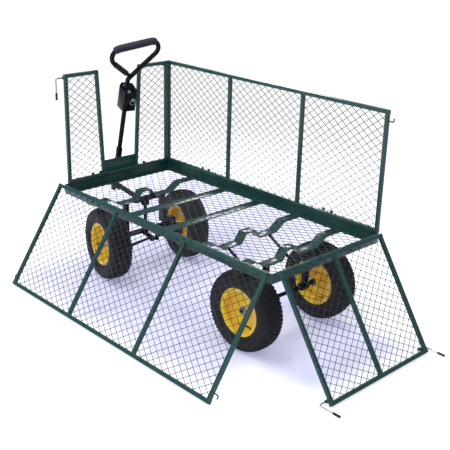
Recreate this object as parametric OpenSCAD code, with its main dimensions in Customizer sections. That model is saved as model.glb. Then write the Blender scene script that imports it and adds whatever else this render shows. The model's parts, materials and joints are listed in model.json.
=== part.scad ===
// Four-wheeled garden cart with drop-down mesh gates, steered front wheels and a tilting pull handle.
// X runs along the cart with the handle at -X, Y across it, Z up. The origin is on the ground
// midway between the four wheels.

/* [Load bed] */
// Length of the load bed over its rails
bed_length = 1220; // [1000:10:1500]
// Width of the load bed over its rails
bed_width = 580; // [500:10:760]
// Height of the bed rails' top edge above the ground
rail_top = 388; // [375:1:420]
// Height of the angle-section rails
rail_height = 40; // [30:1:50]
// Wall of the angle-section rails
rail_wall = 3; // [2:0.5:5]
// Width of the rails' inward ledge
rail_ledge = 25; // [20:1:40]
// Outer corner radius of the rails
rail_corner = 7; // [5:1:14]

/* [Wire mesh] */
// Distance between neighbouring parallel wires of the gates' mesh
mesh_pitch = 24.5; // [20:0.5:60]
// Angle of those wires to the hinge's direction
mesh_angle = 37.5; // [30:0.5:60]
// Turn of the rear gate's mesh in its frame
rear_mesh_turn = 6; // [-8:0.5:8]
// Distance between neighbouring parallel wires of the floor's mesh
floor_pitch = 28; // [20:0.5:60]
// Angle of those wires to the bed's length
floor_mesh_angle = 34; // [30:0.5:60]
// Thickness of a mesh wire
mesh_wire = 2; // [1.5:0.1:3]
// Gap between the two crossed layers of wires
mesh_layer_gap = 0.05; // [0.02:0.01:0.2]
// Shortest distance of a mesh wire from a corner of its field
mesh_margin = 7; // [5:0.5:12]

/* [Cross straps] */
// Width of a flat cross strap
strap_width = 45; // [30:1:60]
// Thickness of a flat cross strap
strap_wall = 4; // [3:0.5:6]
// Depth by which the shaped straps dip beside their middle
strap_dip = 32; // [20:1:40]

/* [Gates] */
// Side of the square gate tube
gate_tube = 14.5; // [12:0.5:25]
// Height of a gate from its lower to its upper edge
gate_height = 466; // [400:1:520]
// Gap between the end gates and the long gates at a corner
corner_gap = 3; // [2:0.5:8]
// Gap between the bed rail and a closed gate
gate_gap = 1; // [0.5:0.5:4]
// Distance of a free gate edge above the ground when it is down
ground_gap = 1; // [0.5:0.5:5]
// Height of the crossplate in the front gate's handle notch
notch_plate_height = 52; // [30:1:60]
// Half width between the notch posts' centres at their foot
notch_half_foot = 89; // [80:1:100]
// Half width between the notch posts' centres at the top
notch_half_top = 114; // [90:1:130]

/* [Hinges] */
// Distance of a hinge axis outside the rails
hinge_out = 6; // [6:0.5:10]
// Radius of a hinge pin
hinge_pin_r = 2.5; // [2:0.5:3]
// Outer radius of a hinge knuckle
hinge_knuckle_r = 5; // [4.5:0.5:5]
// Length of a hinge over its knuckles
hinge_length = 54; // [40:1:80]
// Distance of the long gates' hinges from the middle of the cart
long_hinge_x = 355; // [200:5:400]
// Distance of the end gates' hinges from the middle of the cart
end_hinge_y = 120; // [110:5:150]

/* [Latches] */
// Radius of a latch rod
latch_rod_r = 2.5; // [2:0.1:3]
// Length of a latch lever below its pivot
latch_length = 88; // [60:1:95]
// Length of the grip sleeve on a latch lever
latch_grip_length = 30; // [20:1:40]
// Radius of that sleeve
latch_grip_r = 4.5; // [4:0.1:5]
// Reach of the catch hooks at the front ends of the long gates
front_hook_out = 8.5; // [7:0.5:9]
// Reach of the catch hooks at the rear ends of the long gates
rear_hook_out = 22; // [15:0.5:26]

/* [Wheels] */
// Radius of a tyre at its crown
tyre_r = 155; // [145:1:165]
// Half the width of a tyre
tyre_half = 48; // [42:1:50]
// Radius of the rim's flange
rim_r = 92; // [85:1:96]
// Distance between the wheel axes
wheelbase = 820; // [700:10:900]
// Distance between the wheels' middle planes on one axle
track = 406; // [400:1:440]
// Radius of the axles
axle_r = 8; // [6:0.5:9]

/* [Steering] */
// Distance of the steering column ahead of the front axle
column_ahead = 15; // [10:1:20]
// Angle at which the front wheels stand, seen from above
steer_rest = -11.5; // [-12:0.5:12]
// Half the distance between the kingpins
kingpin_half = 126; // [120:1:130]
// Length of the steering arms
steer_arm = 85; // [75:1:95]
// Sideways offset of the steering arms' pins
arm_offset = 12; // [11:0.5:14]
// Radius of the kingpins
kingpin_r = 6; // [5:0.5:7]

/* [Handle] */
// Distance of the handle's pivot ahead of the bed when the drawbar points straight ahead
drawbar_reach = 131; // [115:1:150]
// Height of the handle's pivot above the ground
handle_pivot_z = 275; // [265:1:285]
// Backward lean of the parked handle
handle_lean = 17.7; // [15:0.1:20]
// Length of the handle from its pivot to the top of the hitch head
handle_length = 540; // [500:1:600]
// Radius of the handle's round tube
handle_r = 10; // [8:0.5:12]
// Radius of the foam grip
foam_r = 16; // [13:0.5:18]

/* [Fits] */
// Radial running clearance of a shaft in its hole
run_gap = 0.05; // [0.02:0.01:0.1]
// Side clearance between pieces that turn against each other
side_gap = 0.5; // [0.3:0.1:1]

/* [Hidden] */
$fn = 48;

// Depth by which a straight reaches into a bend, and the swelling of a bend over its tube
bend_inset = 0.3;
bend_swell = 1.03;

// Finishes
frame_green = [0.09, 0.27, 0.24];
gloss_black = [0.06, 0.06, 0.07];
zinc = [0.72, 0.72, 0.74];
rim_yellow = [0.90, 0.68, 0.16];
rubber = [0.12, 0.12, 0.13];
mesh_dark = [0.16, 0.20, 0.20];

// Thickness of the crossed mesh
mesh_depth = 2 * mesh_wire + mesh_layer_gap;

// Heights of the bed
ledge_top = rail_top - rail_height + rail_wall;
ledge_bottom = rail_top - rail_height;
dip_top = ledge_bottom - strap_dip;
dip_bottom = dip_top - strap_wall;

// Stations of the straps along the bed, worked out from the axles
front_axle_x = -wheelbase / 2;
rear_axle_x = wheelbase / 2;
column_x = front_axle_x - column_ahead;
drawbar_length = bed_length / 2 + drawbar_reach + column_x;
front_strap_x = column_x - 7;
rear_strap_x = rear_axle_x + 10;
strap_step = (rear_strap_x - front_strap_x) / 4;
strut_strap_x = rear_strap_x - strap_step;

// Shape of the dipping straps across the bed
hump_half = 25;
dip_start = 50;
dip_end = 140;
ramp_end = 188;

// Gate frame in its own frame: the hinge axis is the origin, Y outward, Z up
gate_out = -hinge_out;
gate_in = -hinge_out - gate_tube;
gate_low = gate_gap / 2;
gate_high = gate_low + gate_height;
hinge_z = rail_top + gate_gap / 2;
long_half = bed_length / 2;
end_half = bed_width / 2 - gate_tube - corner_gap;
corner_reach = norm([hinge_out, gate_high]);
drop_angle = atan2(hinge_out, gate_high) + acos(-(hinge_z - ground_gap) / corner_reach);
leaf_wall = 2.5;
leaf_height = 22;
long_hinges = [-long_hinge_x, long_hinge_x];
end_hinges = [-end_hinge_y, end_hinge_y];
notch_foot = gate_low + gate_tube + notch_plate_height;

// Latches
latch_out = 10;
latch_pivot_z = gate_high - 18;
latch_plane = bed_width / 2 + 7;
latch_bend = 6;
lug_x = end_half - 9;
lug_wall = 4;
lug_r = 6;
lie_angle = asin((hinge_z + (-latch_out) * sin(drop_angle) + latch_pivot_z * cos(drop_angle)
    - latch_grip_r - ground_gap) / latch_length);
hook_low = 40;
hook_rise = 13;
hook_bend = 5;

// Wheels
axle_z = tyre_r;
hub_in = -38;
hub_out = 12;
hub_r = 20;
rim_wall = 3;
seat_r = rim_r - 12;
bead_gap = 0.05;
bead = tyre_half - 9;
bearing_r = 17.5;
bearing_wide = 11;
nut_wide = 9;
nut_r = 12;
stub_end = hub_out + nut_wide + 4;
wheel_y = track / 2;

// Front axle and steering
beam_half = 15;
beam_top = axle_z + 23;
beam_wall = 12;
beam_boss = 28;
bush_r = 13;
bush_low = axle_z - 3;
bush_high = axle_z + 37;
lug_height = 6.5;
pin_over = 5;
pin_head = 6;
pin_head_r = 10;
knuckle_in = 18;
knuckle_out = 24;
bridge_wall = 5;
bridge_top = dip_bottom;
bridge_half = 70;
drawbar_half = 8;
drawbar_top = dip_bottom - bridge_wall - 7;
column_r = 8;
arm_top = bush_low - side_gap;
arm_wall = 6;
tie_low = axle_z;
tie_wall = 12;
tie_r = 6;
tie_pin_r = 4;
eye_r = 9;
hanger_y = 100;
hanger_wall = 4;
bracket_y = 110;
bracket_hub = 34;
strut_wide = 14;
strut_foot = 60;

// Handle
fork_wall = 4.5;
fork_r = 14;
eye_half = 9;
fork_in = eye_half + side_gap;
fork_out = fork_in + fork_wall;
pivot_r = 5;
yoke_half = 10.5;
yoke_top = 212;
head_half_depth = 29;
head_left = 24;
head_right = 35;
head_wall = 3;
head_low = -124;
head_shoulder = -26;
head_far_top = -12;
head_floor = 6;
hitch_pin_r = 5;
hitch_pin_y = 17.5;
hitch_pin_z = -69;
stem_foot = [-6.3, -25];
grip_bolt_r = 4;
stem_end = [-7, -34];
stem_top = [-3, 19];
grip_right = [189.2, 206.4];
grip_left = [-143.5, 149.7];
leg_end = [-12.3, 45.5];
leg_foot = [8, 29.4];
spigot_r = handle_r - 2;
foam_wrap = 38;
grip_bend = [20, 33.7, 39];

// Side frames and moving frames

// Puts a gate's own frame on a side of the bed: turn is the side's direction
module on_side(turn, reach) {
    rotate([0, 0, turn]) translate([0, reach + hinge_out, hinge_z]) children();
}
module on_left() { on_side(180, bed_width / 2) children(); }
module on_right() { on_side(0, bed_width / 2) children(); }
module on_front() { on_side(90, bed_length / 2) children(); }
module on_rear() { on_side(-90, bed_length / 2) children(); }
module opened(angle) { rotate([-angle, 0, 0]) children(); }
module left_gate_place() { on_left() opened(drop_angle) children(); }
module right_gate_place() { on_right() children(); }
module front_gate_place() { on_front() children(); }
module rear_gate_place() { on_rear() opened(drop_angle) children(); }

// Frame of the steered pieces, with its origin on the column's axis on the ground
module steered() { translate([column_x, 0, 0]) rotate([0, 0, steer_rest]) children(); }
// Frame of a knuckle: origin at the kingpin, Y outward from the cart
module at_knuckle(side) {
    translate([front_axle_x, side * kingpin_half, 0]) rotate([0, 0, steer_rest])
        mirror([0, side < 0 ? 1 : 0, 0]) children();
}
// Frame of the handle: origin at its pivot, Z along the tube, X backward
module at_handle() {
    steered() translate([-drawbar_length, 0, handle_pivot_z]) rotate([0, handle_lean, 0]) children();
}
// Frame of a wheel: origin at its centre, Y outward from the cart
module at_front_wheel(side) {
    at_knuckle(side) translate([0, wheel_y - kingpin_half, axle_z]) children();
}
module at_rear_wheel(side) {
    translate([rear_axle_x, side * wheel_y, axle_z]) mirror([0, side < 0 ? 1 : 0, 0]) children();
}

// Basic shapes

// Round bar between two points
module bar(a, b, r) {
    d = b - a;
    len = norm(d);
    translate(a) rotate(a = acos(d[2] / len), v = [-d[1], d[0] == 0 && d[1] == 0 ? 1 : d[0], 0])
        cylinder(h = len, r = r);
}
// Turn of a flat path at its corner i, to the left if positive
function turn_at(p, i) = let(a = p[i] - p[i - 1], b = p[i + 1] - p[i])
    atan2(a[0] * b[1] - a[1] * b[0], a * b);
// Length between the corner i and the start of its bend
function bend_reach(p, i, bend) = i == 0 || i == len(p) - 1 ? 0 : bend[i - 1] * tan(abs(turn_at(p, i)) / 2);
// Part of the bend at corner i, from u degrees on and w degrees long, with a section's outline
module bend_part(p, i, bend, u, w) {
    d = (p[i] - p[i - 1]) / norm(p[i] - p[i - 1]);
    side = sign(turn_at(p, i));
    centre = p[i] - d * bend_reach(p, i, bend) + side * bend[i - 1] * [-d[1], d[0]];
    translate([centre[0], centre[1], 0])
        rotate([0, 0, atan2(d[1], d[0]) - side * 90 + (side > 0 ? u : -u - w)])
        rotate_extrude(angle = w) translate([bend[i - 1], 0]) children();
}
// Round tube on the ground plane along a flat path, with a bend radius for each inner corner.
// A bend is a little thicker than the straights, which reach into its ends.
module bent_tube(p, bend, r) {
    last = len(p) - 1;
    for (i = [1:last]) {
        d = (p[i] - p[i - 1]) / norm(p[i] - p[i - 1]);
        a = p[i - 1] + d * (bend_reach(p, i - 1, bend) - (i > 1 ? bend_inset : 0));
        b = p[i] - d * (bend_reach(p, i, bend) - (i < last ? bend_inset : 0));
        bar([a[0], a[1], 0], [b[0], b[1], 0], r);
        if (i < last) bend_part(p, i, bend, 0, abs(turn_at(p, i))) circle(r = r * bend_swell);
    }
}
// Cylinder along X or Y, centred on the origin
module along_x(length, r) { rotate([0, 90, 0]) cylinder(h = length, r = r, center = true); }
module along_y(length, r) { rotate([90, 0, 0]) cylinder(h = length, r = r, center = true); }

// Flat plate with round corners, on the ground plane
module round_plate(length, width, r, wall) {
    linear_extrude(height = wall) union() {
        square([length - 2 * r, width], center = true);
        square([length, width - 2 * r], center = true);
        for (x = [-1, 1], y = [-1, 1]) translate([x * (length / 2 - r), y * (width / 2 - r)]) circle(r = r);
    }
}

// Places of a field's corners along a direction
function along(q, d) = [for (p = q) p * d];

// One layer of parallel wires across a four-cornered field, at an angle to its first axis
module wire_layer(q, pitch, angle, low) {
    across = [-sin(angle), cos(angle)];
    centre = (q[0] + q[1] + q[2] + q[3]) / 4;
    start = min(along(q, across)) - centre * across + mesh_margin;
    stop = max(along(q, across)) - centre * across - mesh_margin;
    reach = norm(q[2] - q[0]) + norm(q[3] - q[1]);
    translate([0, 0, low]) intersection() {
        linear_extrude(height = mesh_wire) polygon(q);
        translate([centre[0], centre[1], 0]) rotate([0, 0, angle])
            for (i = [ceil(start / pitch):floor(stop / pitch)])
                translate([-reach, i * pitch - mesh_wire / 2, 0]) cube([2 * reach, mesh_wire, mesh_wire]);
    }
}
// Diamond mesh of two crossed layers of wires, filling a four-cornered field
module diamond_mesh(q, pitch = mesh_pitch, angle = mesh_angle, turn = 0) {
    wire_layer(q, pitch, turn + angle, 0);
    wire_layer(q, pitch, turn - angle, mesh_wire + mesh_layer_gap);
}

// Load bed

module tray_frame() {
    color(frame_green) difference() {
        translate([0, 0, ledge_bottom]) round_plate(bed_length, bed_width, rail_corner, rail_height);
        translate([0, 0, ledge_top])
            round_plate(bed_length - 2 * rail_wall, bed_width - 2 * rail_wall, rail_corner - rail_wall,
                rail_height);
        translate([0, 0, ledge_bottom + rail_wall / 2])
            cube([bed_length - 2 * rail_ledge, bed_width - 2 * rail_ledge, 2 * rail_wall], center = true);
    }
}

module floor_mesh() {
    half_x = bed_length / 2 - rail_wall - 3;
    half_y = bed_width / 2 - rail_wall - 3;
    color(mesh_dark) translate([0, 0, ledge_top])
        diamond_mesh([[-half_x, -half_y], [half_x, -half_y], [half_x, half_y], [-half_x, half_y]],
            floor_pitch, floor_mesh_angle);
}

// Flat strap across the bed under the ledges
module flat_strap(x) {
    translate([x - strap_width / 2, -bed_width / 2 + 2, ledge_bottom - strap_wall])
        cube([strap_width, bed_width - 4, strap_wall]);
}
// Strap that dips on both sides of a hump in its middle
module dipped_strap(x) {
    edge = bed_width / 2 - 2;
    top = [[-edge, ledge_bottom], [-ramp_end, ledge_bottom], [-dip_end, dip_top], [-dip_start, dip_top],
        [-hump_half, ledge_top], [hump_half, ledge_top], [dip_start, dip_top], [dip_end, dip_top],
        [ramp_end, ledge_bottom], [edge, ledge_bottom]];
    low = [for (i = [len(top) - 1:-1:0]) top[i] - [0, strap_wall]];
    translate([x - strap_width / 2, 0, 0]) rotate([90, 0, 90])
        linear_extrude(height = strap_width) polygon(concat(top, low));
}

module front_strap() { color(frame_green) dipped_strap(front_strap_x); }
module middle_straps() {
    color(frame_green) for (i = [1, 2]) flat_strap(front_strap_x + i * strap_step);
}
module strut_strap() { color(frame_green) dipped_strap(strut_strap_x); }
module rear_strap() { color(frame_green) dipped_strap(rear_strap_x); }

// Hinges of the gates

// Knuckles of one hinge: middle ones on the bed, outer ones on the gate, with their bores
module knuckle(x, length) {
    translate([x, 0, 0]) difference() {
        along_x(length, hinge_knuckle_r);
        along_x(length + 2, hinge_pin_r + run_gap);
    }
}
module tray_leaf(x) {
    mid = hinge_length / 2;
    knuckle(x, mid);
    difference() {
        translate([x - mid / 2, -hinge_out, -leaf_height - gate_gap / 2]) cube([mid, leaf_wall, leaf_height]);
        translate([x, 0, 0]) along_x(mid + 2, hinge_pin_r + run_gap);
    }
    translate([x - mid / 2, -hinge_out, -4]) cube([mid, 2.8, 3.5]);
}
module gate_leaf(x) {
    side = hinge_length / 4 - side_gap;
    for (s = [-1, 1]) {
        place = x + s * (hinge_length / 2 - side / 2);
        knuckle(place, side);
        translate([place - side / 2, -hinge_out, gate_low]) cube([side, leaf_wall, leaf_height]);
    }
}
module hinge_pin(x) { translate([x, 0, 0]) along_x(hinge_length + 2, hinge_pin_r); }

module tray_hinges() {
    color(frame_green) {
        for (x = long_hinges) { on_left() tray_leaf(x); on_right() tray_leaf(x); }
        for (x = end_hinges) { on_front() tray_leaf(x); on_rear() tray_leaf(x); }
    }
}
module hinge_pins() {
    color(zinc) {
        for (x = long_hinges) { on_left() hinge_pin(x); on_right() hinge_pin(x); }
        for (x = end_hinges) { on_front() hinge_pin(x); on_rear() hinge_pin(x); }
    }
}

// Gates

// Square tube along X between two stations, its lower edge at the height z
module rail_tube(x0, x1, z) { translate([x0, gate_in, z]) cube([x1 - x0, gate_tube, gate_tube]); }
module post_tube(x) {
    translate([x - gate_tube / 2, gate_in, gate_low + gate_tube - 0.01])
        cube([gate_tube, gate_tube, gate_height - 2 * gate_tube + 0.02]);
}
// Hook at a long gate's end that takes a latch
module latch_hook(side, first, last) {
    low = gate_high - hook_low;
    tip = long_half + (side < 0 ? first : last);
    path = [[long_half - 4, low], [tip, low], [tip, low + hook_rise]];
    mirror([side < 0 ? 1 : 0, 0, 0]) translate([0, gate_out - gate_tube / 2, 0]) rotate([90, 0, 0])
        bent_tube(path, [hook_bend], latch_rod_r);
}
module long_gate_frame(first, last) {
    rail_tube(-long_half, long_half, gate_low);
    rail_tube(-long_half, long_half, gate_high - gate_tube);
    for (x = [-long_half + gate_tube / 2, -long_half / 3, long_half / 3, long_half - gate_tube / 2])
        post_tube(x);
    for (x = long_hinges) gate_leaf(x);
    for (side = [-1, 1]) latch_hook(side, first, last);
}
// Mesh field between two posts of a gate, laid on the gate's mid plane
module gate_field(q, turn = 0) {
    translate([0, gate_in + gate_tube / 2 + mesh_depth / 2, 0]) rotate([90, 0, 0]) diamond_mesh(q, turn = turn);
}
module long_gate_mesh() {
    low = gate_low + gate_tube;
    high = gate_high - gate_tube;
    posts = [-long_half + gate_tube / 2, -long_half / 3, long_half / 3, long_half - gate_tube / 2];
    for (i = [0:2]) {
        x0 = posts[i] + gate_tube / 2;
        x1 = posts[i + 1] - gate_tube / 2;
        gate_field([[x0, low], [x1, low], [x1, high], [x0, high]]);
    }
}

// Lug that carries a latch's pivot on an end gate
module latch_lug(side) {
    mirror([side < 0 ? 1 : 0, 0, 0]) difference() {
        union() {
            translate([lug_x, latch_out, latch_pivot_z]) along_x(lug_wall, lug_r);
            translate([lug_x - lug_wall / 2, gate_out, latch_pivot_z - lug_r])
                cube([lug_wall, latch_out - gate_out, 2 * lug_r]);
        }
        translate([lug_x, latch_out, latch_pivot_z]) along_x(lug_wall + 2, latch_rod_r + run_gap);
    }
}

module end_gate_rails() {
    rail_tube(-end_half, end_half, gate_low);
    for (x = [-end_half + gate_tube / 2, end_half - gate_tube / 2]) post_tube(x);
    for (x = end_hinges) gate_leaf(x);
    for (side = [-1, 1]) latch_lug(side);
}
module rear_gate_solid() {
    end_gate_rails();
    rail_tube(-end_half, end_half, gate_high - gate_tube);
    post_tube(0);
}
module rear_gate_field() {
    low = gate_low + gate_tube;
    high = gate_high - gate_tube;
    for (side = [-1, 1]) {
        x0 = side < 0 ? -end_half + gate_tube : gate_tube / 2;
        x1 = side < 0 ? -gate_tube / 2 : end_half - gate_tube;
        gate_field([[x0, low], [x1, low], [x1, high], [x0, high]], rear_mesh_turn);
    }
}

// Front gate: two wings beside a notch for the handle, joined by a crossplate
module notch_post(side) {
    half = gate_tube / 2;
    translate([0, gate_out, 0]) rotate([90, 0, 0]) linear_extrude(height = gate_tube) polygon([
        [side * (notch_half_foot - half), gate_low + gate_tube - 0.01],
        [side * (notch_half_foot + half), gate_low + gate_tube - 0.01],
        [side * (notch_half_top + half), gate_high], [side * (notch_half_top - half), gate_high]]);
}
module front_gate_solid() {
    end_gate_rails();
    for (side = [-1, 1]) {
        notch_post(side);
        rail_tube(side < 0 ? -end_half : notch_half_top, side < 0 ? -notch_half_top : end_half,
            gate_high - gate_tube);
    }
    translate([-notch_half_foot, gate_out - rail_wall, gate_low + gate_tube - 0.01])
        cube([2 * notch_half_foot, rail_wall, notch_plate_height]);
}
module front_gate_field() {
    low = gate_low + gate_tube;
    high = gate_high - gate_tube;
    half = gate_tube / 2;
    lean = (notch_half_top - notch_half_foot) / (gate_high - low);
    foot = notch_half_foot + half;
    head = notch_half_foot + lean * (high - low) + half;
    gate_field([[foot, low], [end_half - gate_tube, low], [end_half - gate_tube, high], [head, high]]);
    gate_field([[-end_half + gate_tube, low], [-foot, low], [-head, high], [-end_half + gate_tube, high]]);
}

module left_gate_frame() { color(frame_green) left_gate_place() long_gate_frame(rear_hook_out, front_hook_out); }
module left_gate_mesh() { color(mesh_dark) left_gate_place() long_gate_mesh(); }
module right_gate_frame() { color(frame_green) right_gate_place() long_gate_frame(front_hook_out, rear_hook_out); }
module right_gate_mesh() { color(mesh_dark) right_gate_place() long_gate_mesh(); }
module front_gate_frame() { color(frame_green) front_gate_place() front_gate_solid(); }
module front_gate_mesh() { color(mesh_dark) front_gate_place() front_gate_field(); }
module rear_gate_frame() { color(frame_green) rear_gate_place() rear_gate_solid(); }
module rear_gate_mesh() { color(mesh_dark) rear_gate_place() rear_gate_field(); }

// Latches: a cranked rod in a lug of an end gate, with a grip sleeve on its lever.
// turn is the lever's angle from straight down, towards the inside of the cart.
module latch_frame(side, turn) {
    mirror([side < 0 ? 1 : 0, 0, 0]) translate([0, latch_out, latch_pivot_z]) rotate([-turn, 0, 0]) children();
}
module latch_rod(side, turn) {
    latch_frame(side, turn) {
        rotate([90, 0, 0]) bent_tube([[lug_x - 7, 0], [latch_plane, 0], [latch_plane, -latch_length + 4]],
            [latch_bend], latch_rod_r);
        translate([lug_x - 5.5, 0, 0]) along_x(4, latch_rod_r + 2);
    }
}
module latch_grip(side, turn) {
    latch_frame(side, turn) translate([latch_plane, 0, -latch_length]) difference() {
        cylinder(h = latch_grip_length, r = latch_grip_r);
        translate([0, 0, 4]) cylinder(h = latch_grip_length, r = latch_rod_r);
    }
}
// Angle of a lever that lies on the ground when its gate is down
lying = 270 + lie_angle - drop_angle;

module front_left_latch_rod() { color(zinc) front_gate_place() latch_rod(-1, 0); }
module front_left_latch_grip() { color(gloss_black) front_gate_place() latch_grip(-1, 0); }
module front_right_latch_rod() { color(zinc) front_gate_place() latch_rod(1, 0); }
module front_right_latch_grip() { color(gloss_black) front_gate_place() latch_grip(1, 0); }
module rear_left_latch_rod() { color(zinc) rear_gate_place() latch_rod(1, lying); }
module rear_left_latch_grip() { color(gloss_black) rear_gate_place() latch_grip(1, lying); }
module rear_right_latch_rod() { color(zinc) rear_gate_place() latch_rod(-1, lying); }
module rear_right_latch_grip() { color(gloss_black) rear_gate_place() latch_grip(-1, lying); }

// Axles and their carriers

module front_hangers() {
    color(gloss_black) for (side = [-1, 1])
        translate([front_strap_x - strap_width / 2 + 1, side * hanger_y - hanger_wall / 2, beam_top])
            cube([strap_width - 2, hanger_wall, dip_bottom - beam_top]);
}
module front_axle_beam() {
    color(gloss_black) difference() {
        union() {
            translate([front_axle_x - beam_half, -kingpin_half, beam_top - beam_wall])
                cube([2 * beam_half, 2 * kingpin_half, beam_wall]);
            for (side = [-1, 1]) translate([front_axle_x, side * kingpin_half, bush_low])
                cylinder(h = bush_high - bush_low, r = bush_r);
            translate([column_x, 0, beam_top - beam_boss / 2 - beam_wall / 2])
                cylinder(h = beam_boss, r = column_r + beam_half / 2);
        }
        for (side = [-1, 1]) translate([front_axle_x, side * kingpin_half, bush_low - 1])
            cylinder(h = bush_high - bush_low + 2, r = kingpin_r);
        translate([column_x, 0, beam_top - beam_boss]) cylinder(h = 2 * beam_boss, r = column_r + run_gap);
        // Room for the knuckles beside the bushes
        for (side = [-1, 1]) translate([front_axle_x, side * kingpin_half, 0]) difference() {
            translate([-2 * beam_half, min(0, side * 2 * beam_half), 0])
                cube([4 * beam_half, 2 * beam_half, 2 * bush_high]);
            translate([0, 0, -1]) cylinder(h = 2 * bush_high + 2, r = bush_r);
        }
    }
}
module steering_bridge() {
    color(gloss_black) translate([0, 0, bridge_top - bridge_wall]) difference() {
        translate([front_strap_x - strap_width / 2 - 2, -bridge_half, 0])
            cube([strap_width + 8, 2 * bridge_half, bridge_wall]);
        translate([column_x, 0, -1]) cylinder(h = bridge_wall + 2, r = column_r + run_gap);
    }
}
module kingpins() {
    color(zinc) for (side = [-1, 1]) translate([front_axle_x, side * kingpin_half, 0]) {
        over = side_gap + lug_height + pin_over;
        translate([0, 0, bush_low - over]) cylinder(h = bush_high - bush_low + 2 * over, r = kingpin_r);
        translate([0, 0, bush_low - 2 * side_gap - lug_height - pin_head]) cylinder(h = pin_head, r = pin_head_r);
        translate([0, 0, bush_high + 2 * side_gap + lug_height]) cylinder(h = pin_head, r = pin_head_r);
    }
}

module rear_axle_brackets() {
    color(gloss_black) for (side = [-1, 1]) translate([0, side * bracket_y, 0]) difference() {
        union() {
            translate([rear_axle_x - 12, -2, axle_z]) cube([strap_width - 11, 4, dip_bottom - axle_z]);
            translate([rear_axle_x, 0, axle_z]) along_y(bracket_hub, bracket_hub / 2);
        }
        translate([rear_axle_x, 0, axle_z]) along_y(bracket_hub + 2, axle_r);
    }
}
module rear_axle() {
    end = wheel_y + stub_end;
    collar = wheel_y + hub_in - side_gap;
    color(gloss_black) translate([rear_axle_x, 0, axle_z]) {
        along_y(2 * end, axle_r);
        for (side = [-1, 1]) translate([0, side * (collar - 4), 0]) along_y(8, axle_r + 4);
    }
}
// Domed nut on the end of an axle, on the Y axis from the origin outward
module axle_nut() {
    difference() {
        rotate([-90, 0, 0]) {
            cylinder(h = nut_wide, r = nut_r, $fn = 6);
            cylinder(h = 2, r = nut_r + 3);
        }
        rotate([-90, 0, 0]) translate([0, 0, -1]) cylinder(h = nut_wide + 2, r = axle_r);
    }
}
module rear_axle_nuts() {
    color(zinc) for (side = [-1, 1]) at_rear_wheel(side) translate([0, hub_out + side_gap, 0]) axle_nut();
}
// Flat strut from the strut strap down to an axle bracket
module rear_struts() {
    top_x = strut_strap_x;
    foot_x = rear_axle_x - 12;
    foot_z = axle_z + strut_foot;
    color(gloss_black) for (side = [-1, 1])
        translate([0, side * bracket_y + 3, 0]) rotate([90, 0, 0]) linear_extrude(height = 6) polygon([
            [top_x - strut_wide / 2, dip_bottom], [top_x + strut_wide, dip_bottom],
            [foot_x, foot_z], [foot_x, foot_z - strut_wide * 1.2]]);
}

// Steering

module drawbar() {
    low = drawbar_top - 2 * drawbar_half;
    rise = drawbar_top - handle_pivot_z;
    stop = drawbar_length - side_gap - handle_r * cos(handle_lean)
        - (rise + handle_r * sin(handle_lean)) * tan(handle_lean);
    reach = stop - 4;
    color(gloss_black) steered() difference() {
        union() {
            translate([-reach, -drawbar_half, low]) cube([reach, 2 * drawbar_half, 2 * drawbar_half]);
            translate([0, 0, low]) cylinder(h = 2 * drawbar_half, r = column_r + 10);
            translate([-stop, -fork_out, low]) cube([8, 2 * fork_out, 2 * drawbar_half]);
            for (side = [-1, 1]) translate([-drawbar_length, side * (fork_in + fork_wall / 2), 0]) {
                translate([0, 0, handle_pivot_z]) along_y(fork_wall, fork_r);
                translate([0, -fork_wall / 2, handle_pivot_z - fork_r])
                    cube([drawbar_length - stop + 8, fork_wall, rise + fork_r]);
            }
        }
        translate([0, 0, low - 1]) cylinder(h = 2 * drawbar_half + 2, r = column_r);
        translate([-drawbar_length, 0, handle_pivot_z]) along_y(60, pivot_r);
        translate([-drawbar_length, 0, handle_pivot_z]) along_y(2 * fork_in, 17);
    }
}
module steering_column() {
    foot = arm_top - arm_wall;
    color(gloss_black) steered() {
        translate([0, 0, foot]) cylinder(h = bridge_top + 9 - foot, r = column_r);
        translate([0, 0, bridge_top + 0.3]) cylinder(h = 7, r = column_r + 5);
        translate([0, 0, foot]) cylinder(h = arm_wall, r = column_r + 7);
        translate([0, -drawbar_half - 4, foot]) cube([steer_arm, 2 * drawbar_half + 8, arm_wall]);
        for (side = [-1, 1]) translate([steer_arm, side * arm_offset, foot]) {
            cylinder(h = arm_wall, r = eye_r + 1);
            cylinder(h = tie_low + tie_wall + 3 - foot, r = tie_pin_r);
        }
    }
}
module tie_rod(side) {
    inner = [steer_arm * cos(steer_rest) - side * arm_offset * sin(steer_rest),
        steer_arm * sin(steer_rest) + side * arm_offset * cos(steer_rest)];
    reach = [front_axle_x - column_x, side * kingpin_half];
    mid = tie_low + tie_wall / 2;
    translate([column_x + inner[0], inner[1], 0]) difference() {
        union() {
            for (p = [[0, 0], reach]) translate([p[0], p[1], tie_low + side_gap])
                cylinder(h = tie_wall - side_gap, r = eye_r);
            bar([0, 0, mid], [reach[0], reach[1], mid], tie_r - side_gap);
        }
        for (p = [[0, 0], reach]) translate([p[0], p[1], tie_low - 1])
            cylinder(h = tie_wall + 2, r = tie_pin_r + run_gap);
    }
}
module left_tie_rod() { color(gloss_black) tie_rod(-1); }
module right_tie_rod() { color(gloss_black) tie_rod(1); }

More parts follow.
